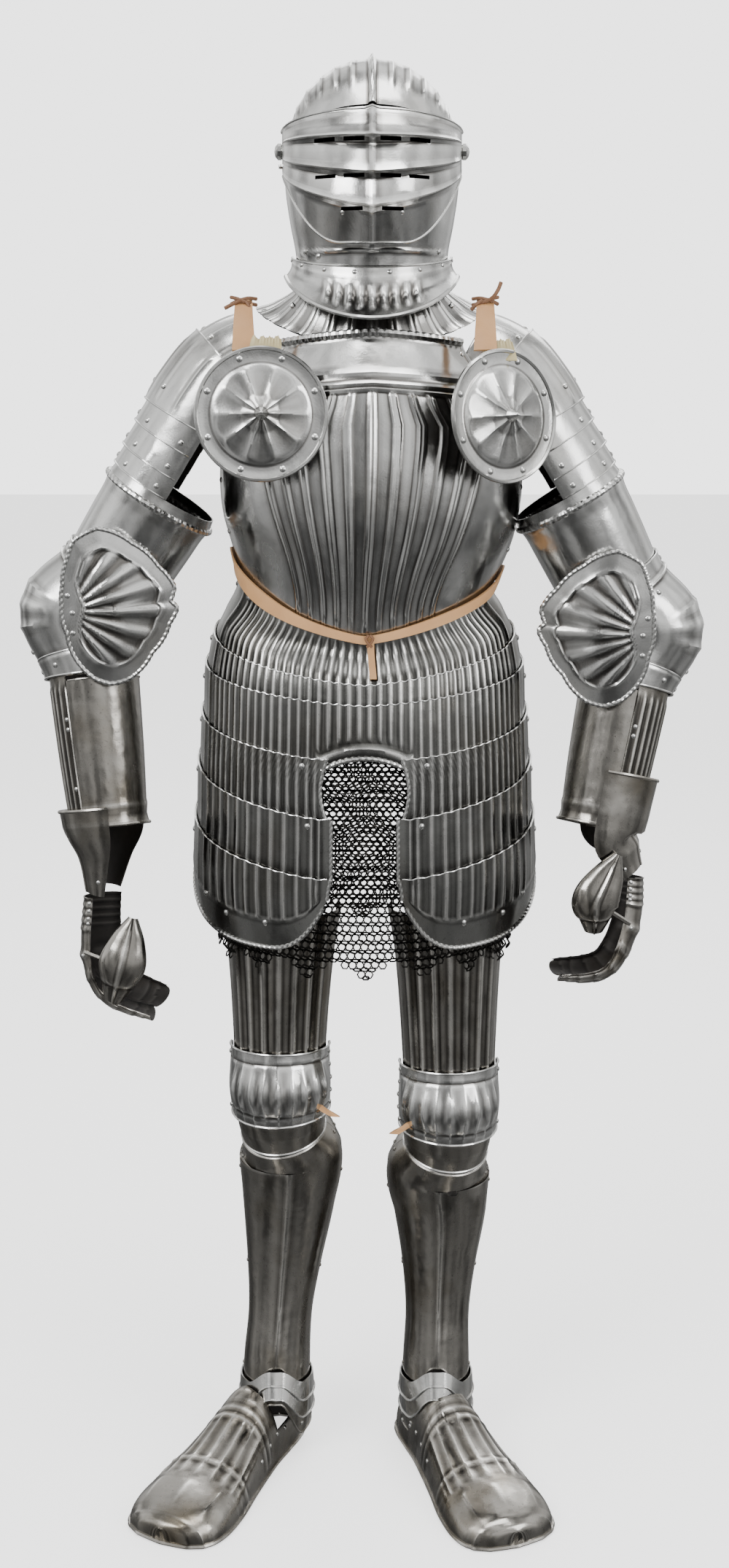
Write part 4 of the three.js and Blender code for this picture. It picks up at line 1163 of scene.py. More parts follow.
@dataclass
class Hips:
    """Fauld, culet and tassets."""

    seam: float = 98.0
    flute: float = 3.5            # degrees from one crest of the fauld to the next
    overlap: float = 9.0

    heights = {
        "a": rising(1061, 1111), "b": rising(1037, 1070), "c": rising(974, 1009, 15),
        "d": rising(902, 947, 14), "e": rising(829, 876, 14),
    }

    def fluted(self, pitch: float, height: float, reach: float = 68.0) -> Relief:
        """Return the relief of a lame.

        Args:
            pitch: degrees from crest to crest.
            height: height of the crests.
            reach: degrees each side that are fluted; the rest is plain.
        """
        def relief(degrees: Points, at: Points, v: Points) -> Points:
            """Return the crests and the line where they stop."""
            inside = smooth(reach - np.abs(degrees), 0, 3)
            seam = 1.0 * bump(np.abs(degrees), reach + 3, 1.2)
            return height * inside * crest(degrees / pitch + 0.5, 2.6) + seam
        return relief

    def scalloped(self, edge: Edge, pitch: float, depth: float, reach: float = 68.0) -> Edge:
        """Return an edge nicked between the crests."""
        def nicked(degrees: Points) -> Points:
            """Return the nicked edge."""
            inside = smooth(reach - np.abs(degrees), 0, 3)
            return edge(degrees) - depth * inside * (1 - crest(degrees / pitch + 0.5, 1.0))
        return nicked

    def crotch(self, degrees: Points) -> Points:
        """Return the lower edge of the third lame, arched in the middle."""
        low = self.heights["c"](degrees) - self.overlap
        arch = 958 + 17 * np.clip(1 - (degrees / 15.5) ** 2, 0, 1)
        return lerp(low, arch, 1 - smooth(np.abs(degrees), 14, 18))

    def lame_relief(self, i: int) -> Relief:
        """Return the relief of a lame of the fauld, 0 to 2; the lowest has an arch with a band."""
        flutes = self.fluted(self.flute, 1.3)

        def relief(degrees: Points, at: Points, v: Points) -> Points:
            """Return the lame's relief."""
            flat = flutes(degrees, at, v)
            if i < 2:
                return flat * (smooth(v, 0.0, 0.3) if i == 0 else 1)
            away = at - self.crotch(degrees)
            arch = smooth(19 - np.abs(degrees), 0, 2.5) * smooth(26 - away, 0, 6)
            band = 2.6 * smooth(17 - np.abs(degrees), 0, 1.5) * bump(away, 11, 4.5)
            return lerp(flat, 0.0, arch) + band
        return relief

    def fauld(self) -> None:
        """Work the three lames of the fauld."""
        edges = self.heights
        specs = [(lambda d: waistline(d) - 3, lowered(edges["a"], self.overlap)),
                 (edges["a"], lowered(edges["b"], self.overlap)), (edges["b"], self.crotch)]
        arc = 14.5 / (2 * self.seam)
        for i, (top, bottom) in enumerate(specs):
            first = self.scalloped(top, self.flute, 1.6) if i else top
            # the upper lames get a painted shadow low down, above the next lame's lip
            sheet = plate(SKIRT, (-self.seam, self.seam), first, bottom, 392, (14, 7, 16)[i],
                          lift=LAP * i, relief=self.lame_relief(i),
                          shade=lambda u, v: 0.7 * smooth(v, 0.62, 0.86) * (i < 2))
            pieces = [sheet.build(FAULD_STEEL, INSIDE_SHADE_STEEL)]
            if i:
                pieces.append(sheet.roll("first", 0.9, BRIGHT_STEEL))
            else:
                pieces.append(STUDS.build([sheet.spot(u, 0.14) for u in (0.17, 0.83)], 3.4, BRIGHT_STEEL))
            if i == 2:
                pieces.append(tube(sheet.row(1.0, 0.5 - arc, 0.5 + arc), 3.4, BRIGHT_STEEL, pitch=7.5))
            pieces.append(STUDS.build([sheet.spot(u, 0.3) for u in (0.045, 0.955)], 3.2, BRIGHT_STEEL))
            finished(f"fauld_{i + 1}", pieces)

    def culet(self) -> None:
        """Work the culet behind as one plate that shows four fluted lames."""
        steps = 4

        def relief(degrees: Points, at: Points, v: Points) -> Points:
            """Return flutes over four steps."""
            place_in = v * steps
            slope = 1.7 * (place_in - np.floor(place_in)) * (v < 1)
            return 1.5 * ridge(degrees / 7.2) * smooth(v, 0.04, 0.2) - slope

        sheet = plate(SKIRT, (self.seam + 1.2, 360 - self.seam - 1.2), lambda d: waistline(d) - 3,
                      level(925), 120, 32, relief=relief)
        pieces = [sheet.build(FAULD_STEEL, INSIDE_SHADE_STEEL)]
        pieces.append(sheet.roll("last", 2.4, FAULD_STEEL))
        finished("culet", pieces)

    def tassets(self) -> None:
        """Work the three lames of each tasset."""
        middle, inner, outer, drop, low = 37, 12, 97, 66, 736

        def hem(degrees: Points) -> Points:
            """Return the rounded lower edge."""
            turn = np.abs(degrees)
            beyond = np.maximum((turn - middle) / (outer - middle), 0)
            within = np.maximum((middle - turn) / (middle - inner), 0)
            return low + drop * np.where(turn > middle, beyond ** 2.4, within ** 3)

        edges = self.heights
        specs = [(edges["c"], lowered(edges["d"], self.overlap), (12.5, 12.0)),
                 (edges["d"], lowered(edges["e"], self.overlap), (10.8, 10.8)),
                 (edges["e"], hem, (10.8, 12.0))]
        for side in (-1, 1):
            for i, (top, bottom, inside) in enumerate(specs):
                self.tasset(side, i, top, bottom, inside)

    def tasset(self, side: int, i: int, top: Edge, bottom: Edge, inside: tuple[float, float]) -> None:
        """Work one lame of a tasset.

        Args:
            side: -1 right or +1 left.
            i: 0 to 2, from the top.
            top: its upper edge.
            bottom: its lower edge.
            inside: the inner angle at its upper and its lower edge.
        """
        pitch = self.flute if i == 0 else 4.9
        flutes = self.fluted(pitch, 1.4, 70)

        def relief(degrees: Points, at: Points, v: Points) -> Points:
            """Return the flutes inside their plain margins."""
            turn = np.abs(degrees)
            margin = smooth(turn, inside[0] + 4.5, inside[0] + 6.5)
            flat = flutes(degrees, at, v) * margin
            if i < 2:
                return flat + 0.9 * bump(turn, inside[0] + 4.0, 0.6)
            rim = smooth(v, 0.6, 0.66)
            upright = bump(turn, inside[0] + 4.6, 0.7) * (1 - rim)
            return flat * (1 - rim) + 1.5 * (bump(v, 0.64, 0.016) * margin + upright)

        bulge = 2.4 if i == 0 else 0.0
        def span(v: Points) -> tuple[Points, float]:
            """Return the inner and the outer angle at share v."""
            return side * (lerp(inside[0], inside[1], v) + bulge * np.sin(np.pi * v)), side * self.seam

        # the upper lames get a painted shadow low down, above the next lame's lip
        sheet = plate(SKIRT, span, self.scalloped(top, pitch, 1.4, 70), bottom, 154, 8 if i < 2 else 32,
                      lift=LAP * (3 + i), relief=relief,
                      shade=lambda u, v: 0.7 * smooth(v, 0.7, 0.9) * (i < 2))
        pieces = [sheet.build(FAULD_STEEL, INSIDE_SHADE_STEEL)]
        pieces.append(sheet.roll("first", 0.9, BRIGHT_STEEL))
        pieces.append(tube(sheet.edge("left", 0.0, 0.97), 2.7, BRIGHT_STEEL, pitch=7.5))
        if i == 2:
            pieces.append(sheet.roll("last", 2.8, BRIGHT_STEEL, pitch=7.5))
            spots = [sheet.spot(u, v) for u, v in ((0.26, 0.7), (0.47, 0.72), (0.62, 0.66), (0.9, 0.3))]
        else:
            spots = [sheet.spot(0.9, 0.24), sheet.spot(0.09, 0.16)]
        pieces.append(STUDS.build(spots, 3.2, BRIGHT_STEEL))
        finished(f"tasset_{side_name(side)}_{i + 1}", pieces)

    def build(self) -> None:
        """Build the hips."""
        self.fauld()
        self.culet()
        self.tassets()


@dataclass
class Mail:
    """Mail skirt of linked rings with a dagged hem."""

    ring: float = 4.7             # radius of a ring to the middle of its wire
    wire: float = 1.25
    across: float = 9.3           # from ring to ring
    down: float = 6.1             # from row to row
    top: float = 977.0
    bottom: float = 690.0
    dags: int = 16
    tilt: float = 32.0

    form = Form([
        [1040, 0, 0, 1040, 184, 158, 122],
        [940, 0, 0, 940, 190, 164, 130],
        [820, 0, 0, 820, 193, 164, 134],
        [690, 0, 0, 690, 188, 146, 130],
    ])

    def hem(self, degrees: Points) -> Points:
        """Return the height of the dagged hem at each angle."""
        return 712 - 24 * (1 - np.abs(np.sin(np.radians(degrees * self.dags / 2))))

    def half(self, low: float, high: float) -> bpy.types.Object:
        """Make the rings of one half.

        Args:
            low: its first angle.
            high: its last angle.

        Returns:
            One object with all its rings.
        """
        deselect()
        bpy.ops.mesh.primitive_torus_add(major_radius=self.ring, minor_radius=self.wire, major_segments=6,
                                         minor_segments=3)
        shape, faces = taken(bpy.context.object)
        faces = np.array(faces)
        random = np.random.default_rng(SEED)
        points, rings = [], []
        for k, z in enumerate(np.arange(self.top, self.bottom, -self.down)):
            fine = np.linspace(low, high, 721)
            skin = self.form.skin(z + 0 * fine, fine)
            arc = np.concatenate([[0], np.cumsum(np.linalg.norm(np.diff(skin, axis=0), axis=1))])
            places = np.arange((k % 2) * self.across / 2, arc[-1], self.across)
            degrees = np.interp(places, arc, fine)
            degrees = degrees[z > self.hem(degrees)]
            for angle in degrees:
                here = self.form.skin(np.array([z, z, z + 1]), np.array([angle, angle + 0.5, angle]))
                along, up = unit(here[1] - here[0]), unit(here[2] - here[0])
                out = np.cross(along, up)
                lean = math.radians(self.tilt * (1 if k % 2 else -1) + random.normal(0, 5))
                high_side = math.cos(lean) * up + math.sin(lean) * out
                turned = np.stack([along, high_side, np.cross(along, high_side)])
                centre = here[0] + out * random.normal(0, 0.3) + up * random.normal(0, 0.3)
                rings.append(faces + len(points) * len(shape))
                points.append(centre + shape @ turned)
        return copies_object(points, np.concatenate(rings).tolist(), RING_STEEL)

    def build(self) -> None:
        """Build both halves."""
        for node, low, high, width in (("mail_skirt", -90, 90, 0.57), ("mail_skirt_back", 90, 270, 0.52)):
            obj = finished(node, [self.half(low, high)], replaced=node == "mail_skirt", angle=60)


# ---------------------------------------------------------------- shoulders and arms
@dataclass
class Besagew:
    """Round plate before the armpit, with a radial fan, a spike, its strap, tab and thong."""

    side: int
    at: Place3
    yaw: float
    pitch: float = -6.0
    radius: float = 75.0
    rays: int = 10

    profile = Table("at h", [[0, 31], [8, 16], [22, 9.5], [54, 4], [57, 1.8], [66, 1.6], [75, 2.6]])

    def turned(self, points: Points) -> Points:
        """Return points of the disc, whose face looks along local +Y, in the suit's place."""
        a, b = math.radians(180 + self.pitch), math.radians(self.yaw)
        x, y, z = points[..., 0], points[..., 1], points[..., 2]
        y, z = y * math.cos(a) - z * math.sin(a), y * math.sin(a) + z * math.cos(a)
        x, y = x * math.cos(b) - y * math.sin(b), x * math.sin(b) + y * math.cos(b)
        return stacked(x, y, z) + np.array(self.at)

    def disc(self) -> None:
        """Work the disc."""
        def place(u: Points, v: Points) -> Points:
            """Return the disc's points, from the rim in."""
            angle = 2 * np.pi * u
            r = self.radius * (1 - v)
            height = np.interp(r, self.profile.at, self.profile.columns["h"])
            return self.turned(stacked(r * np.cos(angle), height, r * np.sin(angle)))

        def relief(u: Points, v: Points) -> Points:
            """Return the rays and the line round them."""
            r = self.radius * (1 - v)
            fan = 1.7 * ridge(u * self.rays) * smooth(r, 4, 16) * smooth(56 - r, 0, 5)
            return fan + 0.9 * bump(r, 56, 1.4)

        back = self.turned(np.array([[0.0, -60.0, 0.0]]))[0]
        sheet = Sheet(110, 28, place, relief, wrap=True, hub=lambda p: back + 0 * p)
        body = sheet.build(BRIGHT_STEEL, INSIDE_SHADE_STEEL)
        rim = tube(sheet.edge("first"), 2.5, BRIGHT_STEEL, closed=True)
        spots = [sheet.spot((k + 0.5) / 8, 9 / 75) for k in range(8)]
        rivets = STUDS.build(spots, 3.4, BRIGHT_STEEL)
        finished(f"besagew_{side_name(self.side)}", [body, rim, rivets])

    def strap(self) -> None:
        """Make the tan strap, the pale tab under it and the thong that ties it."""
        side, name = self.side, side_name(self.side)
        strap = strip((side * 143, -84, 1512), (side * 140, -150, 1452), (20, 27), TAN_LEATHER, bow=5)
        finished(f"besagew_strap_{name}", [strap], angle=50)
        x, y, z = self.at
        tab = strip((x - side * 6, y + 24, z + 87), (x - side * 4, y + 8, z + 64), (34, 40), SUEDE, 2.0,
                    frayed=2.5)
        finished(f"besagew_tab_{name}", [tab], replaced=False, angle=50)
        knot = np.array([side * 143.0, -88, 1508])
        turns = ([[-15, 4, 3], [-6, -5, 4], [6, -5, 1], [15, 4, -3]],
                 [[-15, 4, -4], [-5, -6, -2], [7, -6, 3], [15, 4, 5]])
        standing = ([[4, -6, 1], [10, -9, 6], [15, -6, 14], [18, -4, 22]],
                    [[-4, -6, 1], [-12, -8, -4], [-17, -6, -10]])
        lying = [[3, -6, 1], [12, -8, -3], [22, -6, -8]], [[-3, -6, 0], [-8, -9, -8], [-6, -9, -15]]
        ends = standing if side > 0 else lying
        cords = [tube(knot + np.array(path, float) * (side, 1, 1), 2.3, THONG)
                 for path in (*turns, *ends)]
        finished(f"shoulder_thong_{name}", cords, replaced=False, angle=60)

    def build(self) -> None:
        """Build the disc and its strap."""
        self.disc()
        self.strap()


def side_name(side: int) -> str:
    """Return right for -1 and left for +1, as the wearer has them."""
    return "right" if side < 0 else "left"


@dataclass
class Arm:
    """One arm: pauldron, rerebrace, couter with its wing, and vambrace."""

    side: int
    elbow: Place3
    wrist: Place3
    wing: Place3
    seam: float
    ring_at: float = 236.0
    elbow_at: float = 419.0
    bulge: float = 23.0

    lames = ((20, 64, 4), (57, 131, 5.4), (124, 163, 4.2), (156, 196, 3.1), (189, 221, 2))
    outline = Table("turn reach", [
        [-21, 67], [-1, 74], [6, 66], [19, 75], [44, 72], [75, 81], [91, 92], [102, 99], [121, 96],
        [133, 84], [156, 70], [177, 66], [208, 68], [239, 85], [252, 92], [265, 95], [278, 90], [307, 70],
        [342, 67], [359, 74]])

    def form(self) -> Form:
        """Return the arm's form from the shoulder to the wrist."""
        ring, elbow, wrist = (np.array(p, float) for p in ((257, 2, 1268), self.elbow, self.wrist))
        return Form([
            [0, 108, 8, 1450, 52, 58, 56],
            [57, 157, 4, 1419, 64, 70, 70],
            [100, 186, 2, 1383, 67, 71, 72],
            [142, 208, 1, 1347, 67, 71, 72],
            [self.ring_at, *ring, 70, 71, 71],
            [335, *lerp(ring, elbow, 0.6), 66, 66, 66],
            [self.elbow_at, *elbow, 60, 61, 61],
            [489, *lerp(elbow, wrist, 0.27), 57, 59, 59],
            [600, *lerp(elbow, wrist, 0.68), 53, 54, 54],
            [690, *wrist, 48, 48, 48],
        ], self.side)

    def pauldron(self) -> None:
        """Work the five lames of the shoulder."""
        for i, (first, last, layer) in enumerate(self.lames):
            def relief(degrees: Points, at: Points, v: Points) -> Points:
                """Return the lines across the upper lames."""
                lines = sum(np.clip(1 - np.abs(degrees - turn) / 2.2, 0, 1) for turn in range(26, 157, 26))
                shade = smooth(v, 0.02, 0.12) * smooth(1 - v, 0.02, 0.12)
                return (1.5 if i < 2 else 0.0) * lines * shade

            sheet = plate(self.form(), (-8, 188), level(first), level(last), 80, 14 if i == 1 else 8,
                          lift=LAP * (layer - 1), relief=relief)
            pieces = [sheet.build(BRIGHT_STEEL, INSIDE_SHADE_STEEL)]
            pieces.append(sheet.roll("last", 1.2, BRIGHT_STEEL))
            if i < 2:
                pieces.append(sheet.roll("first", 1.2, BRIGHT_STEEL))
            spots = [sheet.spot(u, 0.72) for u in (0.07, 0.3, 0.5, 0.7, 0.93)]
            pieces.append(STUDS.build(spots, 3.1, BRIGHT_STEEL))
            finished(f"pauldron_{side_name(self.side)}_{i + 1}", pieces)

    def rerebrace(self) -> None:
        """Work the tube of the upper arm under its roped ring."""
        def relief(degrees: Points, at: Points, v: Points) -> Points:
            """Return the ring, the line below it and the seam."""
            line = -0.9 * bump(at, self.ring_at + 24, 1.3)
            crease = 1.6 * bump(degrees, 318, 3) * smooth(at, 262, 275)
            return 2.5 * bump(at, self.ring_at, 9) + line + crease

        sheet = plate(self.form(), (0, 360), level(222), level(338), 72, 26, relief=relief, wrap=True)
        body = sheet.build(BRIGHT_STEEL, INSIDE_SHADE_STEEL)
        turns = np.linspace(0, 360, 121)
        form = self.form()
        middle = form.middle(self.ring_at + 0 * turns)
        skin = form.skin(self.ring_at + 0 * turns, turns)
        rope = tube(skin + unit(skin - middle) * 2.4, 4.4, BRIGHT_STEEL, pitch=9, closed=True)
        finished(f"rerebrace_{side_name(self.side)}", [body, rope])

    def couter(self) -> None:
        """Work the elbow cop and the lames above and below it."""
        def relief(degrees: Points, at: Points, v: Points) -> Points:
            """Return the cop, its ridges and the lames' steps."""
            cop = self.bulge * bump(at, self.elbow_at, 40) * np.maximum(np.sin(np.radians(degrees)), 0)
            ridges = sum(bump(at, self.elbow_at + d, 2.6) for d in (-15, 0, 15))
            ridges = 2.4 * ridges * smooth(degrees, 25, 60) * smooth(155 - degrees, 0, 35)
            steps = 1.6 * (at < 356) * smooth(at, 350, 354) + 1.6 * smooth(at, 466, 467)
            return cop + ridges + steps

        sheet = plate(self.form(), (2, 178), level(328), level(492), 60, 48, lift=LAP, relief=relief)
        body = sheet.build(BRIGHT_STEEL, INSIDE_SHADE_STEEL)
        lips = [tube(sheet.row(v, 0.01, 0.99), 1.4, BRIGHT_STEEL) for v in (0.0, 0.17, 0.84, 1.0)]
        spots = [sheet.spot(u, 0.09) for u in (0.2, 0.5, 0.8)]
        spots += [sheet.spot(0.2, 0.24), sheet.spot(0.45, 0.78)]
        spots += [sheet.spot(u, 0.92) for u in (0.2, 0.5, 0.8)]
        rivets = STUDS.build(spots, 3.0, BRIGHT_STEEL)
        finished(f"couter_{side_name(self.side)}", [body, *lips, rivets])

    def fan(self) -> None:
        """Work the fan-shaped wing before the elbow."""
        def parts(u: Points, v: Points) -> tuple[Points, Points, Points]:
            """Return the place across and up, and the share of the reach."""
            turn = u * 360
            reach = np.interp(turn, self.outline.at, self.outline.columns["reach"])
            r = reach * (1 - v)
            return r * np.cos(np.radians(turn)), r * np.sin(np.radians(turn)), 1 - v

        def place(u: Points, v: Points) -> Points:
            """Return the wing's points, dished towards the back."""
            x, z, rho = parts(u, v)
            depth = 9 * np.cos(rho * np.pi * 0.62)
            y = self.wing[1] - depth + 0.16 * x
            return stacked(self.side * (self.wing[0] - x), y, self.wing[2] + z)

        def relief(u: Points, v: Points) -> Points:
            """Return the sunk field, its fan and the line round it."""
            x, z, rho = parts(u, v)
            turn = np.degrees(np.arctan2(z + 4, x + 60))
            far = np.hypot(x + 60, z + 4)
            rim = 0.76 - 0.2 * bump(np.abs(u - 0.5), 0, 0.07)
            inside = smooth(rim - rho, 0, 0.05) * smooth(far, 6, 16)
            fan = 2.4 * inside * crest(turn / 17, 1.4) * smooth(far, 8, 34)
            return -1.8 * smooth(rim - rho, 0, 0.04) + fan + 1.0 * bump(rho - rim, 0.015, 0.015)

        sheet = Sheet(120, 34, place, relief, wrap=True, hub=lambda p: p + (0, 60, 0))
        body = sheet.build(BRIGHT_STEEL, INSIDE_SHADE_STEEL)
        rope = tube(sheet.edge("first"), 3.0, BRIGHT_STEEL, pitch=7, closed=True)
        spots = [sheet.spot(u, 0.12) for u in (0.46, 0.58)] + [sheet.spot(0.52, 0.2)]
        rivets = STUDS.build(spots, 3.0, BRIGHT_STEEL)
        finished(f"elbow_wing_{side_name(self.side)}", [body, rope, rivets])

    def vambrace(self) -> None:
        """Work the two halves of the forearm."""
        name = side_name(self.side)

        def flare(at: Points) -> Points:
            """Return the flare at the wrist."""
            return 3 * smooth(at, 678, 690)

        def outer_relief(degrees: Points, at: Points, v: Points) -> Points:
            """Return the flutes and the flare."""
            lines = 1.8 * crest((degrees - self.seam) / 11, 3) * smooth(95 - degrees, 0, 4)
            return flare(at) + lines * smooth(at, 500, 512) * smooth(676 - at, 0, 8)

        def inner_relief(degrees: Points, at: Points, v: Points) -> Points:
            """Return the two wrist lines and the flare."""
            return flare(at) + 1.3 * bump(at, 664, 1.5) + 0.8 * bump(at, 670, 1.3)

        outer = plate(self.form(), (self.seam, 189), level(484), level(690), 90, 32, relief=outer_relief)
        inner = plate(self.form(), (190.5, 358.5 + self.seam), level(500), level(690), 56, 30,
                      relief=inner_relief)
        for node, sheet in (("outer", outer), ("inner", inner)):
            pieces = [sheet.build(DARK_STEEL, INSIDE_SHADE_STEEL)]
            pieces.append(sheet.roll("last", 2.2, DARK_STEEL))
            pieces.append(sheet.roll("first", 1.3, DARK_STEEL))
            if node == "outer":
                spots = [sheet.spot(0.03, v) for v in (0.3, 0.36, 0.75)]
                pieces.append(STUDS.build(spots, 2.6, BRIGHT_STEEL))
            finished(f"vambrace_{node}_{name}", pieces)

    def build(self) -> None:
        """Build the arm."""
        self.pauldron()
        self.rerebrace()
        self.couter()
        self.fan()
        self.vambrace()


@dataclass
class Gauntlet:
    """Gauntlet: flared cuff, wrist lames, knuckle and finger plates and the almond thumb guard."""

    side: int
    open: tuple[float, float]
    cuff: tuple[Place3, ...]
    wrist: Place3
    knuckle: Place3
    bend: Place3
    tips: Place3
    face: Place3
    thumb: tuple[Place3, ...]

    def cuff_plate(self) -> None:
        """Work the cuff."""
        form = Form([
            [0, *self.cuff[0], 61, 60, 60],
            [26, *self.cuff[1], 55.5, 55.5, 55.5],
            [60, *self.cuff[2], 38, 48, 48],
            [110, *self.wrist, 24, 40, 41],
        ], self.side)

        def relief(degrees: Points, at: Points, v: Points) -> Points:
            """Return the band and the crease."""
            band = 1.3 * bump(at, 13, 1.5)
            crease = 2.0 * np.clip(1 - np.abs(degrees - 62) / 5, 0, 1) * smooth(at, 16, 30)
            return band + crease

        sheet = plate(form, self.open, level(0), level(110), 72, 30, relief=relief)
        roll = sheet.roll("first", 2.4, DARK_STEEL)
        body = sheet.build(DARK_STEEL, INSIDE_SHADE_STEEL)
        spots = [sheet.spot(u, 0.8) for u in (0.08, 0.5, 0.9)]
        rivets = STUDS.build(spots, 2.4, BRIGHT_STEEL)
        finished(f"gauntlet_cuff_{side_name(self.side)}", [body, roll, rivets])

    def hand(self) -> None:
        """Work the hand with its lames, fingers and thumb guard."""
        wrist, knuckle = np.array(self.wrist, float), np.array(self.knuckle, float)
        form = Form([
            [-9, *lerp(wrist, knuckle, -0.12), 22, 39, 39],
            [0, *wrist, 22, 39, 39],
            [70, *knuckle, 25, 41, 41],
            [120, *self.bend, 22, 42, 42],
            [178, *self.tips, 12, 38, 40],
        ], self.side, self.face)

        def relief(degrees: Points, at: Points, v: Points) -> Points:
            """Return the lames, knuckles and the gaps between fingers."""
            wrist_lames = 1.6 * (at < 46) * ((at / 9.0) % 1.0)
            fingers = np.abs(np.sin(np.radians(degrees * 2)))
            knuckles = 3.0 * bump(at, 74, 6) * fingers
            gaps = smooth(at, 92, 112) * (1 - fingers ** 0.35)
            finger_lames = 1.2 * (at > 92) * ((at / 17.0) % 1.0) * (at < 165)
            return wrist_lames + knuckles - 4.0 * gaps + finger_lames

        def fingertips(degrees: Points) -> Points:
            """Return the rounded ends of the fingers."""
            return 178 - 9 * (1 - np.abs(np.sin(np.radians(degrees * 2))) ** 0.5)

        sheet = plate(form, (-6, 186), level(6), fingertips, 56, 54, relief=relief, thick=1.5)
        pieces = [sheet.build(DARK_STEEL, INSIDE_SHADE_STEEL)]
        wrists = [sheet.spot(0.05, (at - 6) / 172) for at in (12, 21, 30, 39)]
        pieces.append(STUDS.build(wrists + [sheet.spot(0.12, 0.4)], 2.3, BRIGHT_STEEL))
        pieces.append(self.thumb_plate(form))
        finished(f"gauntlet_hand_{side_name(self.side)}", pieces)

    def thumb_plate(self, hand: Form) -> bpy.types.Object:
        """Return the almond guard of the thumb, with its keel and the bar that holds it."""
        t0, t1, t2 = (np.array(p, float) for p in self.thumb)
        form = Form([
            [0, *t0, 6, 8, 8],
            [24, *lerp(t0, t1, 0.45), 21, 12, 10],
            [54, *t1, 30, 17, 12],
            [84, *lerp(t1, t2, 0.55), 22, 15, 10],
            [108, *t2, 13, 10, 8],
        ], self.side)

        def relief(degrees: Points, at: Points, v: Points) -> Points:
            """Return the keel and the last step."""
            return 2.2 * np.clip(1 - np.abs(degrees) / 9, 0, 1) - 1.6 * (at > 82)

        sheet = plate(form, (-88, 88), level(0), level(108), 36, 28, relief=relief)
        body = sheet.build(DARK_STEEL, INSIDE_SHADE_STEEL)
        start = hand.skin(np.array(70.0), np.array(12.0))
        end = np.array([self.side * self.thumb[1][0], self.thumb[1][1] - 12, self.thumb[1][2]])
        bar = tube(np.stack([start, end]), 3.2, DARK_STEEL)
        return joined([body, bar])

    def build(self) -> None:
        """Build the gauntlet."""
        self.cuff_plate()
        self.hand()


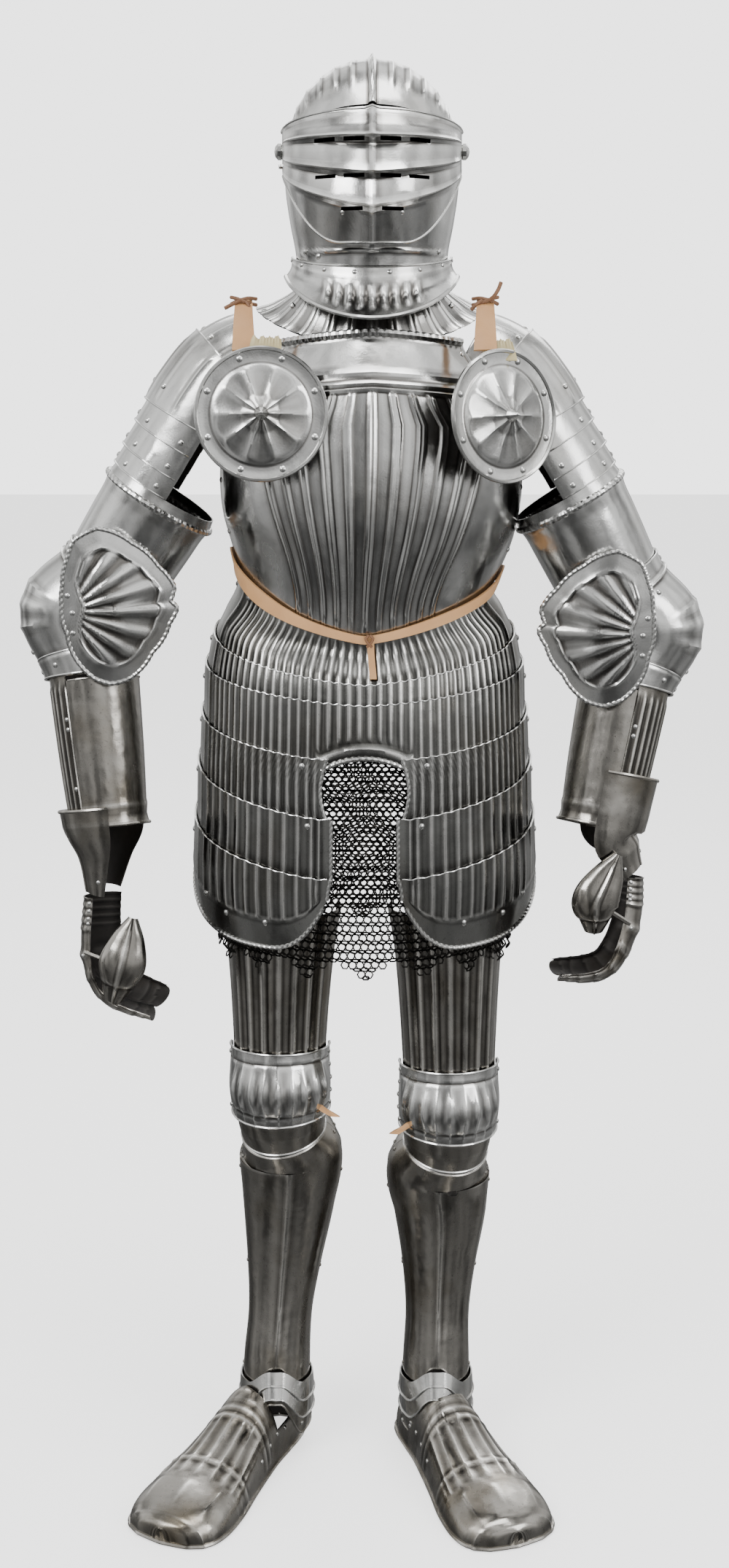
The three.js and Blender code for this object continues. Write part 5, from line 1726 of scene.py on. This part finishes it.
# ---------------------------------------------------------------- legs
@dataclass
class Leg:
    """One leg: cuisse, poleyn with its lame, greave and sabaton."""

    side: int
    drop: float
    ankle: float
    heel: tuple[float, float]
    turn: float
    length: float = 340.0
    hem: float = 52.0

    sole = Table("at w h", [
        [0, 0, 34], [3, 15, 40], [14, 29, 48], [40, 38, 62], [75, 41, 84], [112, 43, 99], [150, 48, 82],
        [200, 56, 62], [250, 65, 50], [296, 66, 42], [325, 54, 34], [336, 34, 27], [340, 0, 20]])

    def form(self) -> Form:
        """Return the leg's form from the thigh to the ankle."""
        d, ankle = self.drop, self.ankle
        return Form([
            [760, 108, 0, 760, 80, 86, 78],
            [690, 109, -5, 690, 69, 78, 70],
            [570, 111, -15, 570 - d, 60, 67, 58],
            [515, 111, -20, 515 - d, 60, 66, 50],
            [470, 110, -20, 470 - d, 59, 64, 50],
            [440, 107, -14, 440 - d, 56, 60, 56],
            [405, 99, 0, 405 - d, 69, 62, 76],
            [335, 102, 2, 335 - d * 0.6, 62, 54, 72],
            [242, lerp(ankle, 103, 0.6), -5, 242, 49, 45, 54],
            [181, lerp(ankle, 103, 0.3), -15, 181, 43, 42, 43],
            [110, ankle, -27, 110, 45, 46, 42],
            [50, ankle, -34, 50, 45, 55, 47],
        ], self.side)

    def cuisse(self) -> None:
        """Work the thigh plate."""
        def relief(degrees: Points, at: Points, v: Points) -> Points:
            """Return the flutes and the side lines."""
            inside = smooth(60 - np.abs(degrees), 0, 6)
            return 2.6 * crest((degrees + 54) / 18, 3) * inside + 1.4 * bump(np.abs(degrees), 84, 1.5)

        sheet = plate(self.form(), (-108, 108), level(745), level(540), 120, 12, relief=relief)
        pieces = [sheet.build(DARK_STEEL, INSIDE_SHADE_STEEL)]
        pieces += [tube(sheet.edge(name), 1.8, DARK_STEEL) for name in ("left", "right", "last")]
        finished(f"cuisse_{side_name(self.side)}", pieces)

    def poleyn(self) -> None:
        """Work the knee cop and the lame below it."""
        def relief(degrees: Points, at: Points, v: Points) -> Points:
            """Return the cop with its flutes and grooves."""
            dome = 12 * np.cos(np.radians(np.clip(degrees, -90, 90)))
            fluted = 3.0 * smooth(66 - np.abs(degrees), 0, 12) * ridge((degrees + 56) / 14)
            groove = -1.2 * bump(at, 548, 1.5) - 1.2 * bump(at, 488, 1.5)
            return bump(at, 512, 26) * (dome + fluted) + groove * smooth(80 - np.abs(degrees), 0, 6)

        name = side_name(self.side)
        sheet = plate(self.form(), (-100, 100), level(562), level(476), 110, 30, lift=LAP * 1.9,
                      relief=relief)
        pieces = [sheet.build(BRIGHT_STEEL, INSIDE_SHADE_STEEL)]
        pieces += [sheet.roll(edge, 1.5, BRIGHT_STEEL) for edge in ("first", "last")]
        spots = [sheet.spot(0.1, v) for v in (0.1, 0.3, 0.5, 0.7, 0.9)]
        spots += [sheet.spot(0.9, v) for v in (0.1, 0.9)]
        pieces.append(STUDS.build(spots, 2.8, BRIGHT_STEEL))
        finished(f"poleyn_{name}", pieces)
        lame = plate(self.form(), (-96, 96), level(482), level(444), 80, 10, lift=0.5,
                     relief=lambda d, at, v: -1.0 * bump(v, 0.45, 0.05))
        pieces = [lame.build(DARK_STEEL, INSIDE_SHADE_STEEL)]
        pieces.append(lame.roll("last", 1.6, BRIGHT_STEEL))
        knee = np.array([self.side * 62.0, -66, 494 - self.drop])
        end = strip(knee, knee + ((-self.side * 24), -2, -16), (13, 12), TAN_LEATHER, 2.0)
        finished(f"knee_strap_{name}", [end], replaced=False, angle=50)
        pieces.append(STUDS.build([lame.spot(u, 0.25) for u in (0.12, 0.88)], 2.6, BRIGHT_STEEL))
        finished(f"poleyn_lame_{name}", pieces)

    def greave(self) -> None:
        """Work the two halves of the greave."""
        name = side_name(self.side)

        def relief(degrees: Points, at: Points, v: Points) -> Points:
            """Return the keel of the shin."""
            return 2.0 * bump(degrees, 0, 5) * smooth(at, 100, 180) * smooth(430 - at, 0, 40)

        front = plate(self.form(), (-90, 90), level(440),
                      lambda d: lerp(86, self.hem, smooth(np.abs(d), 20, 80)), 56, 40, relief=relief)
        back = plate(self.form(), (90.8, 269.2), level(440), level(self.hem), 44, 36)
        for node, sheet in (("front", front), ("back", back)):
            pieces = [sheet.build(DARK_STEEL, INSIDE_SHADE_STEEL)]
            pieces.append(sheet.roll("first", 1.7, DARK_STEEL))
            spots = [sheet.spot(u, v) for v in (0.06, 0.16, 0.5, 0.86) for u in (0.04, 0.96)]
            pieces.append(STUDS.build(spots, 2.2, DARK_STEEL))
            finished(f"greave_{node}_{name}", pieces)

    def sabaton(self) -> None:
        """Work the broad shoe with its lames, fan of flutes and toe cap."""
        turn = math.radians(self.turn)
        ahead = np.array([self.side * math.sin(turn), -math.cos(turn)])
        across = np.array([self.side * math.cos(turn), math.sin(turn)])
        stations = np.concatenate([[0, 1, 3, 6, 10, 14, 20], np.arange(28, 318, 6),
                                   [321, 325, 329, 332, 335, 338, 340]])

        def spots(v: Points) -> Points:
            """Return the distance from the heel at share v."""
            return np.interp(v * (len(stations) - 1), np.arange(len(stations)), stations)

        def size(column: str, at: Points) -> Points:
            """Return a column of the shoe, straight near its ends."""
            straight = np.interp(at, self.sole.at, self.sole.columns[column])
            return np.where((at > 20) & (at < 320), self.sole.read(column, at), straight)

        def place(u: Points, v: Points) -> Points:
            """Return the shoe's points."""
            at = spots(v)
            angle = np.radians(lerp(-90.0, 90.0, u))
            wide, high = size("w", at), size("h", at)
            off = wide * np.sign(angle) * np.abs(np.sin(angle)) ** 0.85
            up = np.where(np.abs(u - 0.5) > 0.499, 0.0, high * np.abs(np.cos(angle)) ** 0.75)
            x = self.side * self.heel[0] + ahead[0] * at + across[0] * off
            y = self.heel[1] + ahead[1] * at + across[1] * off
            return stacked(x, y, up)

        def relief(u: Points, v: Points) -> Points:
            """Return the fan of flutes, the toe cap and the lames."""
            at = spots(v)
            side = (u - 0.5) * 2
            fan = ridge(side * 5.5) * smooth(0.72 - np.abs(side), 0, 0.08)
            instep = smooth(at, 150, 158) * smooth(256 - at, 0, 6)
            toe = smooth(at, 262, 270) * smooth(320 - at, 0, 40)
            toe = toe * ridge(side * 2.5) * smooth(0.8 - np.abs(side), 0, 0.2)
            lames = sum(bump(at, place_at, 1.6) for place_at in (128, 142, 154, 226, 242, 258))
            foot = smooth(np.abs(side), 0.97, 0.9)
            return foot * (1.7 * fan * instep + 1.6 * toe + 1.5 * lames)

        hub = np.array([self.side * self.heel[0] + ahead[0] * 170, self.heel[1] + ahead[1] * 170, -40.0])
        sheet = Sheet(76, len(stations) - 1, place, relief, hub=lambda p: hub + 0 * p)
        body = sheet.build(DARK_STEEL, INSIDE_SHADE_STEEL)
        deselect()
        bpy.ops.mesh.primitive_cylinder_add(vertices=48, radius=1, depth=120 * MM,
                                            location=metres([self.side * self.ankle, -36, 106]),
                                            scale=(48 * MM, 60 * MM, 1))
        cut(body, [bpy.context.object])
        low = np.concatenate([sheet.edge("left"), sheet.edge("right")[::-1]]) + (0, 0, 3.2)
        lip = tube(low, 2.8, DARK_STEEL)
        ankle = self.ankle_lames()
        inner = [sheet.spot(0.1, v) for v in (0.2, 0.27, 0.34, 0.41, 0.48)]
        outer = [sheet.spot(0.9, v) for v in (0.2, 0.3, 0.4)]
        rivets = STUDS.build(inner + outer, 2.6, BRIGHT_STEEL)
        finished(f"sabaton_{side_name(self.side)}", [body, lip, *ankle, rivets])

    def ankle_lames(self) -> list[bpy.types.Object]:
        """Return the two narrow lames before the ankle and the plate round the heel, with their lips."""
        bands = Table("k front side wide deep", [
            [0, 122, 100, 47.5, 50], [1, 106, 76, 49, 59], [2, 91, 54, 50, 67], [3, 82, 30, 47, 65]])
        hub = np.array([self.side * self.ankle, -31.0, 80.0])
        made = []
        for k, finish in enumerate((BRIGHT_STEEL, BRIGHT_STEEL, DARK_STEEL)):
            def place(u: Points, v: Points) -> Points:
                """Return the band's points."""
                degrees = lerp(-172.0, 172.0, u)
                angle = np.radians(degrees)
                row = {key: np.interp(k + v, bands.at, bands.columns[key]) for key in bands.columns}
                z = lerp(row["front"], row["side"], smooth(np.abs(degrees), 8, 50))
                deep = np.where(np.cos(angle) > 0, row["deep"], 51)
                return hub * (1, 1, 0) + stacked(row["wide"] * np.sin(angle), -deep * np.cos(angle), z)

            lame = Sheet(72, 5, place, lift=(1.6, 0.0, -1.6)[k], hub=lambda p: hub + 0 * p)
            made.append(lame.build(finish, INSIDE_SHADE_STEEL))
            made.append(tube(lame.edge("last"), 1.5, finish))
            if k == 2:
                spots = [lame.spot(u, 0.4) for u in (0.12, 0.2, 0.28, 0.36, 0.64, 0.72, 0.8, 0.88)]
                made.append(STUDS.build(spots, 2.4, BRIGHT_STEEL))
        return made

    def build(self) -> None:
        """Build the leg."""
        self.cuisse()
        self.poleyn()
        self.greave()
        self.sabaton()


# ---------------------------------------------------------------- studio
@dataclass
class Studio:
    """Camera, plain floor and soft lights."""

    eye: Place3 = (0.0, -2.488, 0.015)
    tilt: float = 78.0
    lens: float = 45.3
    sensor: float = 36.0
    floor: float = -HOLD_HEIGHT * MM

    def camera(self) -> None:
        """Set up the camera."""
        data = bpy.data.cameras.new("camera")
        data.lens = self.lens
        data.sensor_width = self.sensor
        obj = bpy.data.objects.new("camera", data)
        obj.location = self.eye
        obj.rotation_euler = (math.radians(self.tilt), 0, 0)
        bpy.context.scene.collection.objects.link(obj)
        bpy.context.scene.camera = obj

    def ground(self) -> None:
        """Lay the plain pale floor."""
        deselect()
        bpy.ops.mesh.primitive_plane_add(size=40, location=(0, 0, self.floor - 0.0005))
        obj = bpy.context.object
        obj.name = "floor"
        obj.visible_glossy = False
        made = bpy.data.materials.new("pale_floor")
        made.use_nodes = True
        shader = made.node_tree.nodes["Principled BSDF"]
        shader.inputs["Base Color"].default_value = (0.93, 0.93, 0.93, 1)
        shader.inputs["Roughness"].default_value = 0.9
        shader.inputs["Emission Color"].default_value = (1, 1, 1, 1)
        shader.inputs["Emission Strength"].default_value = 1.3
        obj.data.materials.append(made)

    def light(self, name: str, place: Place3, size: tuple[float, float], power: float) -> None:
        """Add one soft box that looks at the suit.

        Args:
            name: the light's name.
            place: where it hangs, in metres.
            size: its width and height.
            power: its power in watts.
        """
        data = bpy.data.lights.new(name, "AREA")
        data.shape = "RECTANGLE"
        data.size, data.size_y = size
        data.energy = power
        obj = bpy.data.objects.new(name, data)
        obj.location = place
        aim = -np.array(place, float) + (0, 0, -0.35)
        flat = math.hypot(aim[0], aim[1])
        obj.rotation_euler = (math.atan2(flat, -aim[2]), 0, math.atan2(-aim[0], aim[1]))
        bpy.context.scene.collection.objects.link(obj)

    def world(self) -> None:
        """Light the room: bright above, dim below, plain and pale behind the suit."""
        made = bpy.data.worlds.new("room")
        bpy.context.scene.world = made
        made.use_nodes = True
        made.node_tree.nodes.clear()
        nodes = Nodes(made.node_tree)
        direction = nodes.add("TexCoord").outputs["Generated"]
        height = nodes.add("SeparateXYZ", Vector=direction).outputs["Z"]
        ramp = nodes.add("ValToRGB", Fac=nodes.ranged(height, -1, 1, (0, 1)))
        stops = ((0.0, 0.26), (0.3, 0.24), (0.43, 0.34), (0.5, 0.62), (0.6, 0.9), (0.8, 1.0))
        for k, (at, grey) in enumerate(stops):
            stop = ramp.color_ramp.elements[k] if k < 2 else ramp.color_ramp.elements.new(at)
            stop.position = at
            stop.color = (grey, grey, grey * 0.99, 1)
        patches = nodes.noise(direction, 2.6, 2, (1, 1, 0.35))
        uneven = nodes.ranged(patches, 0.38, 0.62, (0.3, 1.45))
        room = nodes.add("Background", Color=ramp.outputs["Color"], Strength=uneven)
        plain = nodes.add("Background", Color=(1, 1, 1, 1), Strength=3.0)
        seen = nodes.add("LightPath").outputs["Is Camera Ray"]
        mix = nodes.add("MixShader", Fac=seen)
        nodes.feed(mix.inputs[1], room.outputs[0])
        nodes.feed(mix.inputs[2], plain.outputs[0])
        nodes.add("OutputWorld", Surface=mix.outputs[0])

    def build(self) -> None:
        """Set up the studio."""
        self.camera()
        self.ground()
        self.world()
        self.light("key", (-2.6, -2.6, 2.2), (2.2, 1.6), 90)
        self.light("fill", (2.9, -2.2, 1.3), (1.4, 2.2), 45)
        self.light("top", (0.2, -0.6, 3.0), (2.6, 1.6), 70)
        self.light("rim", (0.4, 3.0, 1.6), (3.0, 1.4), 40)


def main() -> None:
    """Build the studio and then the suit, from the head down."""
    logging.basicConfig(level=logging.INFO, format="%(message)s")
    Studio().build()
    Helmet().build()
    Torso().build()
    Hips().build()
    Mail().build()
    Besagew(-1, (-119, -178, 1379), yaw=3).build()
    Besagew(1, (161, -160, 1376), yaw=35).build()
    Arm(-1, elbow=(352, 14, 1122), wrist=(324, -45, 862), wing=(305, -75, 1143), seam=32).build()
    Arm(1, elbow=(345, 14, 1102), wrist=(296, -42, 862), wing=(289, -75, 1115), seam=10).build()
    Gauntlet(-1, open=(-8, 222), cuff=((327, -40, 884), (324, -46, 851), (326, -48, 820)),
             wrist=(331, -50, 778), knuckle=(332, -60, 706), bend=(314, -72, 662), tips=(258, -80, 636),
             face=(0.34, -0.9, -0.2), thumb=((290, -103, 757), (304, -112, 700), (318, -108, 650))).build()
    Gauntlet(1, open=(-14, 200), cuff=((313, -27, 926), (300, -43, 851), (318, -44, 824)),
             wrist=(334, -46, 802), knuckle=(326, -58, 740), bend=(300, -72, 692), tips=(240, -78, 682),
             face=(0, -1, 0), thumb=((316, -100, 838), (289, -106, 780), (288, -100, 738))).build()
    Leg(-1, drop=0, ankle=119, heel=(103, 20), turn=26.5).build()
    Leg(1, drop=24, ankle=97, heel=(66, 24), turn=21.5).build()


if __name__ == "__main__":
    main()
